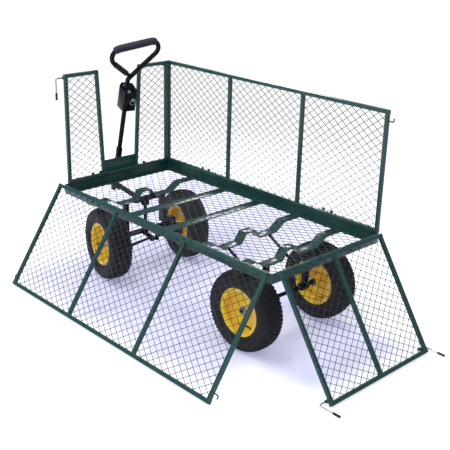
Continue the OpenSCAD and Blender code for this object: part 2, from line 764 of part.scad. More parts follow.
module steering_knuckle() {
    low = bush_low - side_gap - lug_height;
    high = bush_high + side_gap + lug_height;
    collar_end = wheel_y - kingpin_half + hub_in - side_gap;
    difference() {
        union() {
            for (z = [low, high - lug_height]) {
                translate([0, 0, z]) cylinder(h = lug_height, r = bush_r);
                translate([-bush_r, 0, z]) cube([2 * bush_r, knuckle_out, lug_height]);
            }
            translate([-bush_r, knuckle_in, low]) cube([2 * bush_r, knuckle_out - knuckle_in, high - low]);
            translate([0, (knuckle_out + wheel_y - kingpin_half + stub_end) / 2, axle_z])
                along_y(wheel_y - kingpin_half + stub_end - knuckle_out, axle_r);
            translate([0, (knuckle_out + collar_end) / 2, axle_z]) along_y(collar_end - knuckle_out, axle_r + 4);
            translate([0, arm_offset - 8, low]) cube([steer_arm, 16, arm_top - low]);
            translate([steer_arm, arm_offset, low]) cylinder(h = arm_top - low, r = eye_r);
            translate([steer_arm, arm_offset, arm_top - 1]) cylinder(h = tie_low + tie_wall + 4 - arm_top, r = tie_pin_r);
        }
        translate([0, 0, low - 1]) cylinder(h = high - low + 2, r = kingpin_r + run_gap);
    }
}
module stub_nut() { translate([0, wheel_y - kingpin_half + hub_out + side_gap, axle_z]) axle_nut(); }
module left_knuckle() { color(gloss_black) at_knuckle(-1) steering_knuckle(); }
module right_knuckle() { color(gloss_black) at_knuckle(1) steering_knuckle(); }
module left_stub_nut() { color(zinc) at_knuckle(-1) stub_nut(); }
module right_stub_nut() { color(zinc) at_knuckle(1) stub_nut(); }

// Handle

module handle_pivot_bolt() {
    color(zinc) steered() translate([-drawbar_length, 0, handle_pivot_z]) {
        along_y(2 * fork_out, pivot_r);
        for (side = [-1, 1]) translate([0, side * (fork_out + 0.75), 0]) along_y(1.5, pivot_r + 3);
    }
}
module handle_shaft() {
    color(gloss_black) at_handle() difference() {
        union() {
            along_y(2 * eye_half, 13);
            translate([-handle_r, -eye_half, 0]) cube([2 * handle_r, 2 * eye_half, 40]);
            translate([-handle_r, -yoke_half, 38]) cube([2 * handle_r, 2 * yoke_half, yoke_top - 38]);
            translate([0, 0, 100]) cylinder(h = handle_length + head_low - 100, r = handle_r);
        }
        along_y(2 * eye_half + 2, pivot_r + run_gap);
    }
}
// Outlines of the hitch head's near and far plates across and up, from the top of the head
near_plate = [[-head_left, head_low], [head_right, head_low], [head_right, head_shoulder], [5, 13], [-11, 13],
    [-20, -5], [-head_left, head_shoulder]];
far_plate = [[-head_left, head_low], [head_right, head_low], [head_right, head_shoulder], [20, head_far_top],
    [-head_left + 6, head_far_top], [-head_left, head_shoulder]];
module head_plate(outline) { rotate([90, 0, 90]) linear_extrude(height = head_wall) polygon(outline); }
module hitch_head() {
    inner = head_half_depth - head_wall;
    color(gloss_black) at_handle() translate([0, 0, handle_length]) difference() {
        union() {
            translate([inner, 0, 0]) head_plate(near_plate);
            translate([-head_half_depth, 0, 0]) head_plate(far_plate);
            translate([-head_half_depth, -head_left, head_low])
                cube([2 * head_half_depth, head_wall, head_shoulder - head_low]);
            translate([-inner - 1, -head_left + 1, head_low]) cube([2 * inner + 2, head_left + 11, head_floor]);
            translate([0, 0, head_low]) cylinder(h = 3 * head_floor, r = handle_r + 4);
        }
        translate([0, hitch_pin_y, hitch_pin_z]) along_x(80, hitch_pin_r + run_gap);
        translate([0, stem_foot[0], stem_foot[1]]) along_x(80, grip_bolt_r);
    }
}
module grip_bolt() {
    inner = handle_r + side_gap;
    outer = head_half_depth - head_wall;
    color(zinc) at_handle() translate([0, stem_foot[0], handle_length + stem_foot[1]]) {
        along_x(2 * head_half_depth + 1, grip_bolt_r);
        for (side = [-1, 1]) {
            translate([side * (head_half_depth + 2), 0, 0]) along_x(4, grip_bolt_r + 3);
            translate([side * (inner + outer) / 2, 0, 0]) along_x(outer - inner, grip_bolt_r + 2.5);
        }
    }
}
// Path of the bent grip tube across and up, from the top of the head
grip_path = [stem_end, stem_top, grip_right, grip_left, leg_end];
spigot_top = leg_end - 5 * (leg_foot - leg_end) / norm(leg_foot - leg_end);
// Frame of the grip's plane: X across, Y up, the tube's mid plane at zero
module grip_plane() { at_handle() translate([0, 0, handle_length]) rotate([90, 0, 90]) children(); }
module grip_tube() {
    color(gloss_black) grip_plane() difference() {
        union() {
            bent_tube(grip_path, grip_bend, handle_r);
            bar([spigot_top[0], spigot_top[1], 0], [leg_foot[0], leg_foot[1], 0], spigot_r);
        }
        translate(stem_foot) cylinder(h = 40, r = grip_bolt_r + run_gap, center = true);
    }
}
// Sleeve on the straight of the grip path that starts at corner i, with its ends held back
module sleeve(i, r, bore, first, last) {
    a = grip_path[i];
    b = grip_path[i + 1];
    d = (b - a) / norm(b - a);
    start = a + d * (bend_reach(grip_path, i, grip_bend) + first);
    stop = b - d * (bend_reach(grip_path, i + 1, grip_bend) + last);
    grip_plane() difference() {
        bar([start[0], start[1], 0], [stop[0], stop[1], 0], r);
        bar([start[0] - 9 * d[0], start[1] - 9 * d[1], 0], [stop[0] + 9 * d[0], stop[1] + 9 * d[1], 0], bore);
    }
}
// Foam on the top straight and round a part of the bend at each of its ends
module grip_foam() {
    color(rubber) {
        sleeve(2, foam_r, handle_r * bend_swell + 4 * run_gap, -bend_inset, -bend_inset);
        grip_plane() for (i = [2, 3])
            bend_part(grip_path, i, grip_bend, i == 2 ? abs(turn_at(grip_path, i)) - foam_wrap : 0, foam_wrap)
                difference() {
                    circle(r = foam_r * bend_swell);
                    circle(r = handle_r * bend_swell + run_gap);
                }
    }
}
module grip_sleeve() { color(gloss_black) sleeve(3, handle_r + 2, handle_r, 6, 0); }
module hitch_pin() {
    ring_r = 13;
    color(zinc) at_handle() translate([0, hitch_pin_y, handle_length + hitch_pin_z]) {
        bar([-head_half_depth - 10, 0, 0], [head_half_depth + 4, 0, 0], hitch_pin_r);
        translate([head_half_depth + 2.5, 0, 0]) along_x(4, hitch_pin_r + 4);
        translate([head_half_depth + 4, 0, -ring_r + 3]) rotate([0, 90, 0])
            rotate_extrude() translate([ring_r, 0]) circle(r = 1.5, $fn = 16);
    }
}

// Wheels, each in its own frame with the axle along Y and its outer face towards +Y

module tyre() {
    w = tyre_half;
    outside = [[seat_r, bead - 7], [rim_r, bead - 2], [rim_r + 5, bead + 3], [rim_r + 13, w - 2], [tyre_r - 38, w],
        [tyre_r - 24, w - 1], [tyre_r - 13, w - 5], [tyre_r - 6, w - 11], [tyre_r - 2, w - 20], [tyre_r, w - 34]];
    inside = [[tyre_r - 10, w - 36], [tyre_r - 13, w - 20], [tyre_r - 21, w - 11], [tyre_r - 36, w - 7],
        [rim_r + 11, w - 10], [rim_r + 3, bead - 6], [seat_r, bead - 16]];
    last_out = len(outside) - 1;
    last_in = len(inside) - 1;
    wheel_ring(concat(outside, [for (i = [last_out:-1:0]) [outside[i][0], -outside[i][1]]],
        [for (i = [last_in:-1:0]) [inside[i][0], -inside[i][1]]], inside));
}
// Ring about the wheel's axle with a flat profile of radius and place along the axle
module wheel_ring(profile) {
    rotate([90, 0, 0]) rotate_extrude($fn = 96) polygon([for (p = profile) [p[0], -p[1]]]);
}
module rim() {
    inner = seat_r - rim_wall;
    edge = bead + bead_gap;
    // Barrel with its two flanges
    wheel_ring([[inner, -edge + 4], [rim_r - 3, -edge], [rim_r, -edge], [rim_r, -edge + 2], [seat_r, -edge + 7],
        [seat_r, edge - 7], [rim_r, edge - 2], [rim_r, edge], [rim_r - 3, edge], [inner, edge - 4]]);
    // Pressed disc between the hub and the barrel
    wheel_ring([[hub_r - 1, 8], [hub_r + 8, 7], [hub_r + 24, -4], [inner + 1, -4], [inner + 1, -4 + rim_wall],
        [hub_r + 25, -4 + rim_wall], [hub_r + 9, 7 + rim_wall], [hub_r - 1, 8 + rim_wall]]);
    // Hub with a pocket for a bearing at each end
    wheel_ring([[bearing_r, hub_in], [hub_r, hub_in], [hub_r, hub_out], [bearing_r, hub_out],
        [bearing_r, hub_out - bearing_wide], [axle_r + 4, hub_out - bearing_wide],
        [axle_r + 4, hub_in + bearing_wide], [bearing_r, hub_in + bearing_wide]]);
}
module bearings() {
    for (y = [hub_in, hub_out - bearing_wide]) translate([0, y, 0]) rotate([-90, 0, 0]) difference() {
        cylinder(h = bearing_wide, r = bearing_r);
        translate([0, 0, -1]) cylinder(h = bearing_wide + 2, r = axle_r + run_gap);
    }
}

module front_left_tyre() { color(rubber) at_front_wheel(-1) tyre(); }
module front_left_rim() { color(rim_yellow) at_front_wheel(-1) rim(); }
module front_left_bearings() { color(zinc) at_front_wheel(-1) bearings(); }
module front_right_tyre() { color(rubber) at_front_wheel(1) tyre(); }
module front_right_rim() { color(rim_yellow) at_front_wheel(1) rim(); }
module front_right_bearings() { color(zinc) at_front_wheel(1) bearings(); }
module rear_left_tyre() { color(rubber) at_rear_wheel(-1) tyre(); }
module rear_left_rim() { color(rim_yellow) at_rear_wheel(-1) rim(); }
module rear_left_bearings() { color(zinc) at_rear_wheel(-1) bearings(); }
module rear_right_tyre() { color(rubber) at_rear_wheel(1) tyre(); }
module rear_right_rim() { color(rim_yellow) at_rear_wheel(1) rim(); }
module rear_right_bearings() { color(zinc) at_rear_wheel(1) bearings(); }

tray_frame();
floor_mesh();
front_strap();
middle_straps();
strut_strap();
rear_strap();
front_hangers();
front_axle_beam();
steering_bridge();
kingpins();
rear_axle_brackets();
rear_axle();
rear_axle_nuts();
rear_struts();
tray_hinges();
hinge_pins();
drawbar();
steering_column();
handle_pivot_bolt();
handle_shaft();
hitch_head();
grip_bolt();
grip_tube();
grip_foam();
grip_sleeve();
hitch_pin();
left_knuckle();
left_stub_nut();
right_knuckle();
right_stub_nut();
left_tie_rod();
right_tie_rod();
front_left_tyre();
front_left_rim();
front_left_bearings();
front_right_tyre();
front_right_rim();
front_right_bearings();
rear_left_tyre();
rear_left_rim();
rear_left_bearings();
rear_right_tyre();
rear_right_rim();
rear_right_bearings();
left_gate_frame();
left_gate_mesh();
right_gate_frame();
right_gate_mesh();
front_gate_frame();
front_gate_mesh();
rear_gate_frame();
rear_gate_mesh();
front_left_latch_rod();
front_left_latch_grip();
front_right_latch_rod();
front_right_latch_grip();
rear_left_latch_rod();
rear_left_latch_grip();
rear_right_latch_rod();
rear_right_latch_grip();
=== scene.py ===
"""Dressed scene of a four-wheeled garden cart with mesh gates and a tilting pull handle."""

import json
import logging
import math
from dataclasses import dataclass, field
from enum import Enum
from typing import Callable, Iterable, Sequence

import bmesh
import bpy
from mathutils import Matrix, Vector


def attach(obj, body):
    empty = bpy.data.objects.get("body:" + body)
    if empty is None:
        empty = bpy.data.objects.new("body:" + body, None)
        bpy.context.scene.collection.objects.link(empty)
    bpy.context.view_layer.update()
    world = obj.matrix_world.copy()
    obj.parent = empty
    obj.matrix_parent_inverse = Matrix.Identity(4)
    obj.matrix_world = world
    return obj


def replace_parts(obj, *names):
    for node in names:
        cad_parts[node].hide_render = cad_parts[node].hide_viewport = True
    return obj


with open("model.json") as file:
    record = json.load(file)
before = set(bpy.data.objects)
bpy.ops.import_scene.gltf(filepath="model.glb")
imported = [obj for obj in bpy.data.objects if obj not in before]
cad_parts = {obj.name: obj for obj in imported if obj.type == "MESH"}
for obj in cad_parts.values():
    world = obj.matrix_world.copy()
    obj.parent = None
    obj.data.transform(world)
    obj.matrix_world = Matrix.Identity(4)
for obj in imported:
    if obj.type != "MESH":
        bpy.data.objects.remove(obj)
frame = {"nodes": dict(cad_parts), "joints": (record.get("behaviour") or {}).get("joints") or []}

MM = 0.001
LOG = logging.getLogger("garden_cart")

Pair = tuple[float, float]


def millimetres(*pairs: Pair) -> list[Pair]:
    """Turns pairs of millimetres into metres."""
    return [(a * MM, b * MM) for a, b in pairs]


# --------------------------------------------------------------------------
# Shapes
# --------------------------------------------------------------------------

@dataclass
class Shape:
    """Vertices and faces that grow part by part, in metres.

    Attributes:
        verts: the points so far.
        faces: the faces so far, as tuples of point numbers.
    """

    verts: list[Vector] = field(default_factory=list)
    faces: list[tuple[int, ...]] = field(default_factory=list)

    def loft(self, rings: Sequence[Sequence[Vector]], capped: bool = True, closed: bool = False) -> None:
        """Joins rings of equal length by quads.

        Args:
            rings: the rings in order.
            capped: whether the first and last rings are filled.
            closed: whether the last ring joins the first.
        """
        start = len(self.verts)
        count = len(rings[0])
        for ring in rings:
            self.verts.extend(Vector(p) for p in ring)
        steps = len(rings) if closed else len(rings) - 1
        for i in range(steps):
            a = start + i * count
            b = start + ((i + 1) % len(rings)) * count
            for k in range(count):
                n = (k + 1) % count
                self.faces.append((a + k, a + n, b + n, b + k))
        if capped and not closed:
            self.faces.append(tuple(start + k for k in reversed(range(count))))
            last = start + (len(rings) - 1) * count
            self.faces.append(tuple(last + k for k in range(count)))

    def tube(self, path: Sequence[Vector], radius: float, sides: int = 16, closed: bool = False,
             radii: Sequence[float] | None = None) -> None:
        """Sweeps a circle along a path.

        Args:
            path: the centre line.
            radius: the circle's radius.
            sides: corners of the circle.
            closed: whether the path returns to its start.
            radii: a radius for each path point, in place of the one radius.
        """
        points = [Vector(p) for p in path]
        rings: list[list[Vector]] = []
        normal: Vector | None = None
        last = len(points) - 1
        for i, p in enumerate(points):
            before = points[i - 1] if i or closed else points[i]
            after = points[(i + 1) % len(points)] if i < last or closed else points[i]
            tangent = (after - before).normalized()
            if normal is None:
                guide = Vector((0, 0, 1)) if abs(tangent.z) < 0.9 else Vector((1, 0, 0))
                normal = tangent.cross(guide).normalized()
            else:
                normal = (normal - tangent * normal.dot(tangent)).normalized()
            side = tangent.cross(normal)
            r = radii[i] if radii else radius
            rings.append([p + (normal * math.cos(a) + side * math.sin(a)) * r
                          for a in (2 * math.pi * k / sides for k in range(sides))])
        self.loft(rings, closed=closed)

    def lathe(self, profile: Sequence[Pair], place: Matrix, segments: int = 96,
              closed: bool = True) -> None:
        """Turns a profile of radius and place along the Y axis about that axis.

        Args:
            profile: pairs of radius and place along the axis.
            place: the matrix that puts the axis in the cart.
            segments: steps round the axis.
            closed: whether the profile is a closed loop.
        """
        rings = []
        for k in range(segments):
            a = 2 * math.pi * k / segments
            rings.append([place @ Vector((r * math.cos(a), y, r * math.sin(a))) for r, y in profile])
        start = len(self.verts)
        count = len(profile)
        for ring in rings:
            self.verts.extend(ring)
        spans = count if closed else count - 1
        for k in range(segments):
            a = start + k * count
            b = start + ((k + 1) % segments) * count
            for i in range(spans):
                n = (i + 1) % count
                self.faces.append((a + i, b + i, b + n, a + n))

    def bar(self, start: Vector, stop: Vector, across: Vector, width: float, depth: float, corner: float,
            place: Matrix | None = None) -> None:
        """A straight bar of rounded rectangular section.

        Args:
            start: the middle of the first end.
            stop: the middle of the last end.
            across: the direction of the section's width.
            width: the section's width.
            depth: the section's depth.
            corner: the section's corner radius.
            place: a matrix that moves the finished bar.
        """
        move = place or Matrix.Identity(4)
        along = (stop - start).normalized()
        u = (across - along * across.dot(along)).normalized()
        v = along.cross(u)
        ring = rounded_section(width, depth, corner)
        self.loft([[move @ (end + u * x + v * y) for x, y in ring] for end in (start, stop)])

    def bead(self, centre: Vector, radius: float, sides: int = 8) -> None:
        """A small ball, for the end of a weld.

        Args:
            centre: its middle.
            radius: its radius.
            sides: its sides round the upright axis.
        """
        rings = []
        for i in range(1, 4):
            b = math.pi * i / 4
            wide, up = math.sin(b), math.cos(b)
            rings.append([centre + Vector((wide * math.cos(a), wide * math.sin(a), up)) * radius
                          for a in (2 * math.pi * k / sides for k in range(sides))])
        self.loft(rings)

    def weld(self, ring: Sequence[Vector], radius: float) -> None:
        """A rippled weld bead along a closed ring.

        Args:
            ring: the points the bead follows.
            radius: the bead's mean radius.
        """
        radii = [radius * (1.0 + 0.16 * math.sin(2.4 * i) + 0.08 * math.sin(5.1 * i + 1.0))
                 for i in range(len(ring))]
        self.tube(ring, radius, sides=6, closed=True, radii=radii)

    def build(self, name: str, finish: "Finish", body: str, angle: float = 32.0) -> bpy.types.Object:
        """Makes the object, gives it its finish and lets it ride.

        Args:
            name: the piece's name.
            finish: what it is covered with.
            body: the body it moves with.
            angle: edges sharper than this many degrees stay sharp.

        Returns:
            The finished object.
        """
        mesh = bpy.data.meshes.new(name)
        mesh.from_pydata([tuple(v) for v in self.verts], [], self.faces)
        mesh.validate()
        edit = bmesh.new()
        edit.from_mesh(mesh)
        bmesh.ops.recalc_face_normals(edit, faces=edit.faces)
        edit.to_mesh(mesh)
        edit.free()
        return finish_piece(name, mesh, finish, body, angle)


def finish_piece(name: str, mesh: bpy.types.Mesh, finish: "Finish", body: str,
                 angle: float) -> bpy.types.Object:
    """Shades a mesh, gives it a material and lets it ride on a body.

    Args:
        name: the piece's name.
        mesh: its mesh.
        finish: what it is covered with.
        body: the body it moves with.
        angle: edges sharper than this many degrees stay sharp.

    Returns:
        The object.
    """
    mesh.polygons.foreach_set("use_smooth", [True] * len(mesh.polygons))
    mesh.set_sharp_from_angle(angle=math.radians(angle))
    mesh.materials.clear()
    mesh.materials.append(material_for(finish))
    made = bpy.data.objects.new(name, mesh)
    bpy.context.scene.collection.objects.link(made)
    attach(made, body)
    LOG.info("piece %s: %d faces on %s", name, len(mesh.polygons), body)
    return made


def rounded_section(width: float, depth: float, corner: float, steps: int = 4) -> list[Pair]:
    """Corners of a rounded rectangle about the origin.

    Args:
        width: the size along the first axis.
        depth: the size along the second axis.
        corner: the corner radius.
        steps: steps in each rounded corner.

    Returns:
        The points, anticlockwise.
    """
    points = []
    for sx, sy, turn in ((1, 1, 0), (-1, 1, 90), (-1, -1, 180), (1, -1, 270)):
        for k in range(steps + 1):
            a = math.radians(turn + 90 * k / steps)
            points.append((sx * (width / 2 - corner) + corner * math.cos(a),
                           sy * (depth / 2 - corner) + corner * math.sin(a)))
    return points


def rounded_path(points: Sequence[Vector], bends: Sequence[float], steps: int = 10) -> list[Vector]:
    """A path of straights joined by tangent arcs.

    Args:
        points: the corners, with both ends.
        bends: a bend radius for each inner corner.
        steps: steps in each bend.

    Returns:
        The points of the rounded path.
    """
    path = [Vector(points[0])]
    for i in range(1, len(points) - 1):
        p = Vector(points[i])
        a = (p - Vector(points[i - 1])).normalized()
        b = (Vector(points[i + 1]) - p).normalized()
        turn = a.angle(b)
        reach = bends[i - 1] * math.tan(turn / 2)
        inward = (b - a).normalized()
        centre = p + inward * (bends[i - 1] / math.cos(turn / 2))
        first = p - a * reach - centre
        axis = a.cross(b).normalized()
        for k in range(steps + 1):
            path.append(centre + Matrix.Rotation(turn * k / steps, 3, axis) @ first)
    path.append(Vector(points[-1]))
    return path


def hexagon_nut(shape: Shape, place: Matrix, radius: float, height: float, washer: float) -> None:
    """A hexagon nut with chamfered corners on a washer, along +Y from the place's origin.

    Args:
        shape: the shape it is added to.
        place: the matrix that puts it in the cart.
        radius: the nut's corner radius.
        height: its height with the washer.
        washer: the washer's radius.
    """
    shape.lathe([(0.001, 0.0), (washer, 0.0), (washer, 1.7 * MM), (0.001, 1.7 * MM)], place, 32)
    levels = ((1.7 * MM, 0.96), (2.4 * MM, 1.0), (height - 1.6 * MM, 1.0), (height, 0.88))
    rings = [[place @ Vector((radius * share * math.cos(a), y, radius * share * math.sin(a)))
              for a in (math.pi * k / 3 for k in range(6))] for y, share in levels]
    shape.loft(rings)


def eased_copy(node: str, name: str, finish: "Finish", body: str, width: float,
               segments: int = 2) -> bpy.types.Object:
    """A solid's copy with its sharp edges eased, which stands for the solid.

    Args:
        node: the solid's name.
        name: the new piece's name.
        finish: what it is covered with.
        body: the body it moves with.
        width: the easing's width.
        segments: steps across the easing.

    Returns:
        The object.
    """
    mesh = bpy.data.meshes.new(name)
    edit = bmesh.new()
    edit.from_mesh(frame["nodes"][node].data)
    bmesh.ops.remove_doubles(edit, verts=edit.verts, dist=2e-6)
    bmesh.ops.dissolve_limit(edit, angle_limit=math.radians(0.6), verts=edit.verts, edges=edit.edges)
    sharp = [e for e in edit.edges if len(e.link_faces) == 2 and e.calc_face_angle(0.0) > math.radians(34)]
    bmesh.ops.bevel(edit, geom=sharp, offset=width, offset_type="OFFSET", segments=segments, profile=0.5,
                    affect="EDGES", clamp_overlap=True)
    bmesh.ops.recalc_face_normals(edit, faces=edit.faces)
    edit.to_mesh(mesh)
    edit.free()
    made = finish_piece(name, mesh, finish, body, 40.0)
    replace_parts(made, node)
    return made


# --------------------------------------------------------------------------
# Shared effects
# --------------------------------------------------------------------------

def new_group(name: str, inputs: Sequence[tuple[str, str, float | tuple]], outputs: Sequence[tuple[str, str]]
              ) -> tuple[bpy.types.NodeTree, bpy.types.Node, bpy.types.Node]:
    """An empty shader node group with its sockets.

    Args:
        name: the group's name.
        inputs: name, socket type and default of each input.
        outputs: name and socket type of each output.

    Returns:
        The group, its input node and its output node.
    """
    tree = bpy.data.node_groups.new(name, "ShaderNodeTree")
    for label, kind, default in inputs:
        socket = tree.interface.new_socket(label, in_out="INPUT", socket_type=kind)
        if default is not None:
            socket.default_value = default
    for label, kind in outputs:
        tree.interface.new_socket(label, in_out="OUTPUT", socket_type=kind)
    return tree, tree.nodes.new("NodeGroupInput"), tree.nodes.new("NodeGroupOutput")


def drift_group() -> bpy.types.NodeTree:
    """Slow drift of a finish's colour, with a mask of where it is duller.

    Returns:
        The group, with inputs Vector, Colour, Second Colour, Scale and Amount, and outputs Colour and Mask.
    """
    tree, enter, leave = new_group(
        "colour_drift",
        [("Vector", "NodeSocketVector", None), ("Colour", "NodeSocketColor", (0.5, 0.5, 0.5, 1.0)),
         ("Second Colour", "NodeSocketColor", (0.4, 0.4, 0.4, 1.0)), ("Scale", "NodeSocketFloat", 9.0),
         ("Amount", "NodeSocketFloat", 0.5)],
        [("Colour", "NodeSocketColor"), ("Mask", "NodeSocketFloat")])
    noise = tree.nodes.new("ShaderNodeTexNoise")
    noise.inputs["Detail"].default_value = 5.0
    noise.inputs["Roughness"].default_value = 0.62
    ramp = tree.nodes.new("ShaderNodeValToRGB")
    ramp.color_ramp.elements[0].position = 0.38
    ramp.color_ramp.elements[1].position = 0.66
    scale = tree.nodes.new("ShaderNodeMath")
    scale.operation = "MULTIPLY"
    mix = tree.nodes.new("ShaderNodeMix")
    mix.data_type = "RGBA"
    link = tree.links.new
    link(enter.outputs["Vector"], noise.inputs["Vector"])
    link(enter.outputs["Scale"], noise.inputs["Scale"])
    link(noise.outputs["Fac"], ramp.inputs["Fac"])
    link(ramp.outputs["Color"], scale.inputs[0])
    link(enter.outputs["Amount"], scale.inputs[1])
    link(scale.outputs[0], mix.inputs["Factor"])
    link(enter.outputs["Colour"], mix.inputs[6])
    link(enter.outputs["Second Colour"], mix.inputs[7])
    link(mix.outputs[2], leave.inputs["Colour"])
    link(scale.outputs[0], leave.inputs["Mask"])
    return tree


def grain_group() -> bpy.types.NodeTree:
    """Fine grain of a coat or a rubber, as a height of two noises.

    Returns:
        The group, with inputs Vector, Scale, Fine Scale and Fine Share, and the output Height.
    """
    tree, enter, leave = new_group(
        "surface_grain",
        [("Vector", "NodeSocketVector", None), ("Scale", "NodeSocketFloat", 300.0),
         ("Fine Scale", "NodeSocketFloat", 1200.0), ("Fine Share", "NodeSocketFloat", 0.3)],
        [("Height", "NodeSocketFloat")])
    coarse = tree.nodes.new("ShaderNodeTexNoise")
    coarse.inputs["Detail"].default_value = 2.0
    fine = tree.nodes.new("ShaderNodeTexNoise")
    fine.inputs["Detail"].default_value = 3.0
    mix = tree.nodes.new("ShaderNodeMix")
    mix.data_type = "FLOAT"
    link = tree.links.new
    for node, name in ((coarse, "Scale"), (fine, "Fine Scale")):
        link(enter.outputs["Vector"], node.inputs["Vector"])
        link(enter.outputs[name], node.inputs["Scale"])
    link(enter.outputs["Fine Share"], mix.inputs["Factor"])
    link(coarse.outputs["Fac"], mix.inputs[2])
    link(fine.outputs["Fac"], mix.inputs[3])
    link(mix.outputs[0], leave.inputs["Height"])
    return tree


def wear_group() -> bpy.types.NodeTree:
    """Rubbed edges in a lighter colour that also paints edge highlights, broken up by noise, from a measure
    of how convex the surface is.

    Returns:
        The group, with inputs Vector, Convexity, Colour, Worn and Highlight Colour, Amount and Scale, and
        outputs Colour and Mask.
    """
    tree, enter, leave = new_group(
        "edge_wear",
        [("Vector", "NodeSocketVector", None), ("Convexity", "NodeSocketFloat", 0.5),
         ("Colour", "NodeSocketColor", (0.5, 0.5, 0.5, 1.0)),
         ("Worn Colour", "NodeSocketColor", (0.7, 0.7, 0.7, 1.0)),
         ("Amount", "NodeSocketFloat", 0.5), ("Scale", "NodeSocketFloat", 60.0)],
        [("Colour", "NodeSocketColor"), ("Mask", "NodeSocketFloat")])
    edge = tree.nodes.new("ShaderNodeMapRange")
    edge.interpolation_type = "SMOOTHSTEP"
    noise = tree.nodes.new("ShaderNodeTexNoise")
    noise.inputs["Detail"].default_value = 4.0
    broken = tree.nodes.new("ShaderNodeMath")
    broken.operation = "MULTIPLY"
    scaled = tree.nodes.new("ShaderNodeMath")
    scaled.operation = "MULTIPLY"
    mix = tree.nodes.new("ShaderNodeMix")
    mix.data_type = "RGBA"
    link = tree.links.new
    link(enter.outputs["Convexity"], edge.inputs["Value"])
    link(enter.outputs["Vector"], noise.inputs["Vector"])
    link(enter.outputs["Scale"], noise.inputs["Scale"])
    link(edge.outputs["Result"], broken.inputs[0])
    link(noise.outputs["Fac"], broken.inputs[1])
    link(broken.outputs[0], scaled.inputs[0])
    link(enter.outputs["Amount"], scaled.inputs[1])
    link(scaled.outputs[0], mix.inputs["Factor"])
    link(enter.outputs["Colour"], mix.inputs[6])
    link(enter.outputs["Worn Colour"], mix.inputs[7])
    link(mix.outputs[2], leave.inputs["Colour"])
    link(scaled.outputs[0], leave.inputs["Mask"])
    return tree


def soft_box_group() -> bpy.types.NodeTree:
    """A soft-edged rectangle seen from above.

    Returns:
        The group, with inputs Vector, Centre, Half and Soft, and the output Mask.
    """
    tree, enter, leave = new_group(
        "soft_box",
        [("Vector", "NodeSocketVector", None), ("Centre", "NodeSocketVector", None),
         ("Half", "NodeSocketVector", None), ("Soft", "NodeSocketFloat", 0.2)],
        [("Mask", "NodeSocketFloat")])
    link = tree.links.new
    chain = enter.outputs["Vector"]
    for operation, name in (("SUBTRACT", "Centre"), ("ABSOLUTE", ""), ("SUBTRACT", "Half")):
        step = tree.nodes.new("ShaderNodeVectorMath")
        step.operation = operation
        link(chain, step.inputs[0])
        if name:
            link(enter.outputs[name], step.inputs[1])
        chain = step.outputs[0]
    split = tree.nodes.new("ShaderNodeSeparateXYZ")
    link(chain, split.inputs[0])
    both = tree.nodes.new("ShaderNodeMath")
    both.operation = "MULTIPLY"
    for k in (0, 1):
        fade = tree.nodes.new("ShaderNodeMapRange")
        fade.interpolation_type = "SMOOTHSTEP"
        fade.inputs["From Min"].default_value = 0.0
        fade.inputs["To Min"].default_value = 1.0
        fade.inputs["To Max"].default_value = 0.0
        link(split.outputs[k], fade.inputs["Value"])
        link(enter.outputs["Soft"], fade.inputs["From Max"])
        link(fade.outputs["Result"], both.inputs[k])
    link(both.outputs[0], leave.inputs["Mask"])
    return tree


def dust_group() -> bpy.types.NodeTree:
    """Dust that settles on faces that look up.

    Returns:
        The group, with inputs Vector, Normal, Colour, Dust Colour, Amount and Scale, and outputs Colour
        and Mask.
    """
    tree, enter, leave = new_group(
        "settled_dust",
        [("Vector", "NodeSocketVector", None), ("Normal", "NodeSocketVector", None),
         ("Colour", "NodeSocketColor", (0.5, 0.5, 0.5, 1.0)),
         ("Dust Colour", "NodeSocketColor", (0.4, 0.38, 0.35, 1.0)),
         ("Amount", "NodeSocketFloat", 0.2), ("Scale", "NodeSocketFloat", 40.0)],
        [("Colour", "NodeSocketColor"), ("Mask", "NodeSocketFloat")])
    split = tree.nodes.new("ShaderNodeSeparateXYZ")
    up = tree.nodes.new("ShaderNodeMapRange")
    up.inputs["From Min"].default_value = 0.35
    up.inputs["From Max"].default_value = 1.0
    noise = tree.nodes.new("ShaderNodeTexNoise")
    noise.inputs["Detail"].default_value = 4.0
    patch = tree.nodes.new("ShaderNodeMath")
    patch.operation = "MULTIPLY"
    scaled = tree.nodes.new("ShaderNodeMath")
    scaled.operation = "MULTIPLY"
    mix = tree.nodes.new("ShaderNodeMix")
    mix.data_type = "RGBA"
    link = tree.links.new
    link(enter.outputs["Normal"], split.inputs[0])
    link(split.outputs["Z"], up.inputs["Value"])
    link(enter.outputs["Vector"], noise.inputs["Vector"])
    link(enter.outputs["Scale"], noise.inputs["Scale"])
    link(up.outputs["Result"], patch.inputs[0])
    link(noise.outputs["Fac"], patch.inputs[1])
    link(patch.outputs[0], scaled.inputs[0])
    link(enter.outputs["Amount"], scaled.inputs[1])
    link(scaled.outputs[0], mix.inputs["Factor"])
    link(enter.outputs["Colour"], mix.inputs[6])
    link(enter.outputs["Dust Colour"], mix.inputs[7])
    link(mix.outputs[2], leave.inputs["Colour"])
    link(scaled.outputs[0], leave.inputs["Mask"])
    return tree


# --------------------------------------------------------------------------
# Finishes
# --------------------------------------------------------------------------

class Edges(Enum):
    """How a finish finds its rubbed edges, which also carry a painted edge highlight."""

    NONE = "none"
    ROUNDED = "normals rounded over the edges"
    POINTED = "pointiness of a dense mesh"


class Grain(Enum):
    """How the fine surface of a finish is made."""

    COAT = "powder coat"
    RUBBER = "moulded rubber"
    FOAM = "closed-cell foam"
    PLATED = "plated steel"


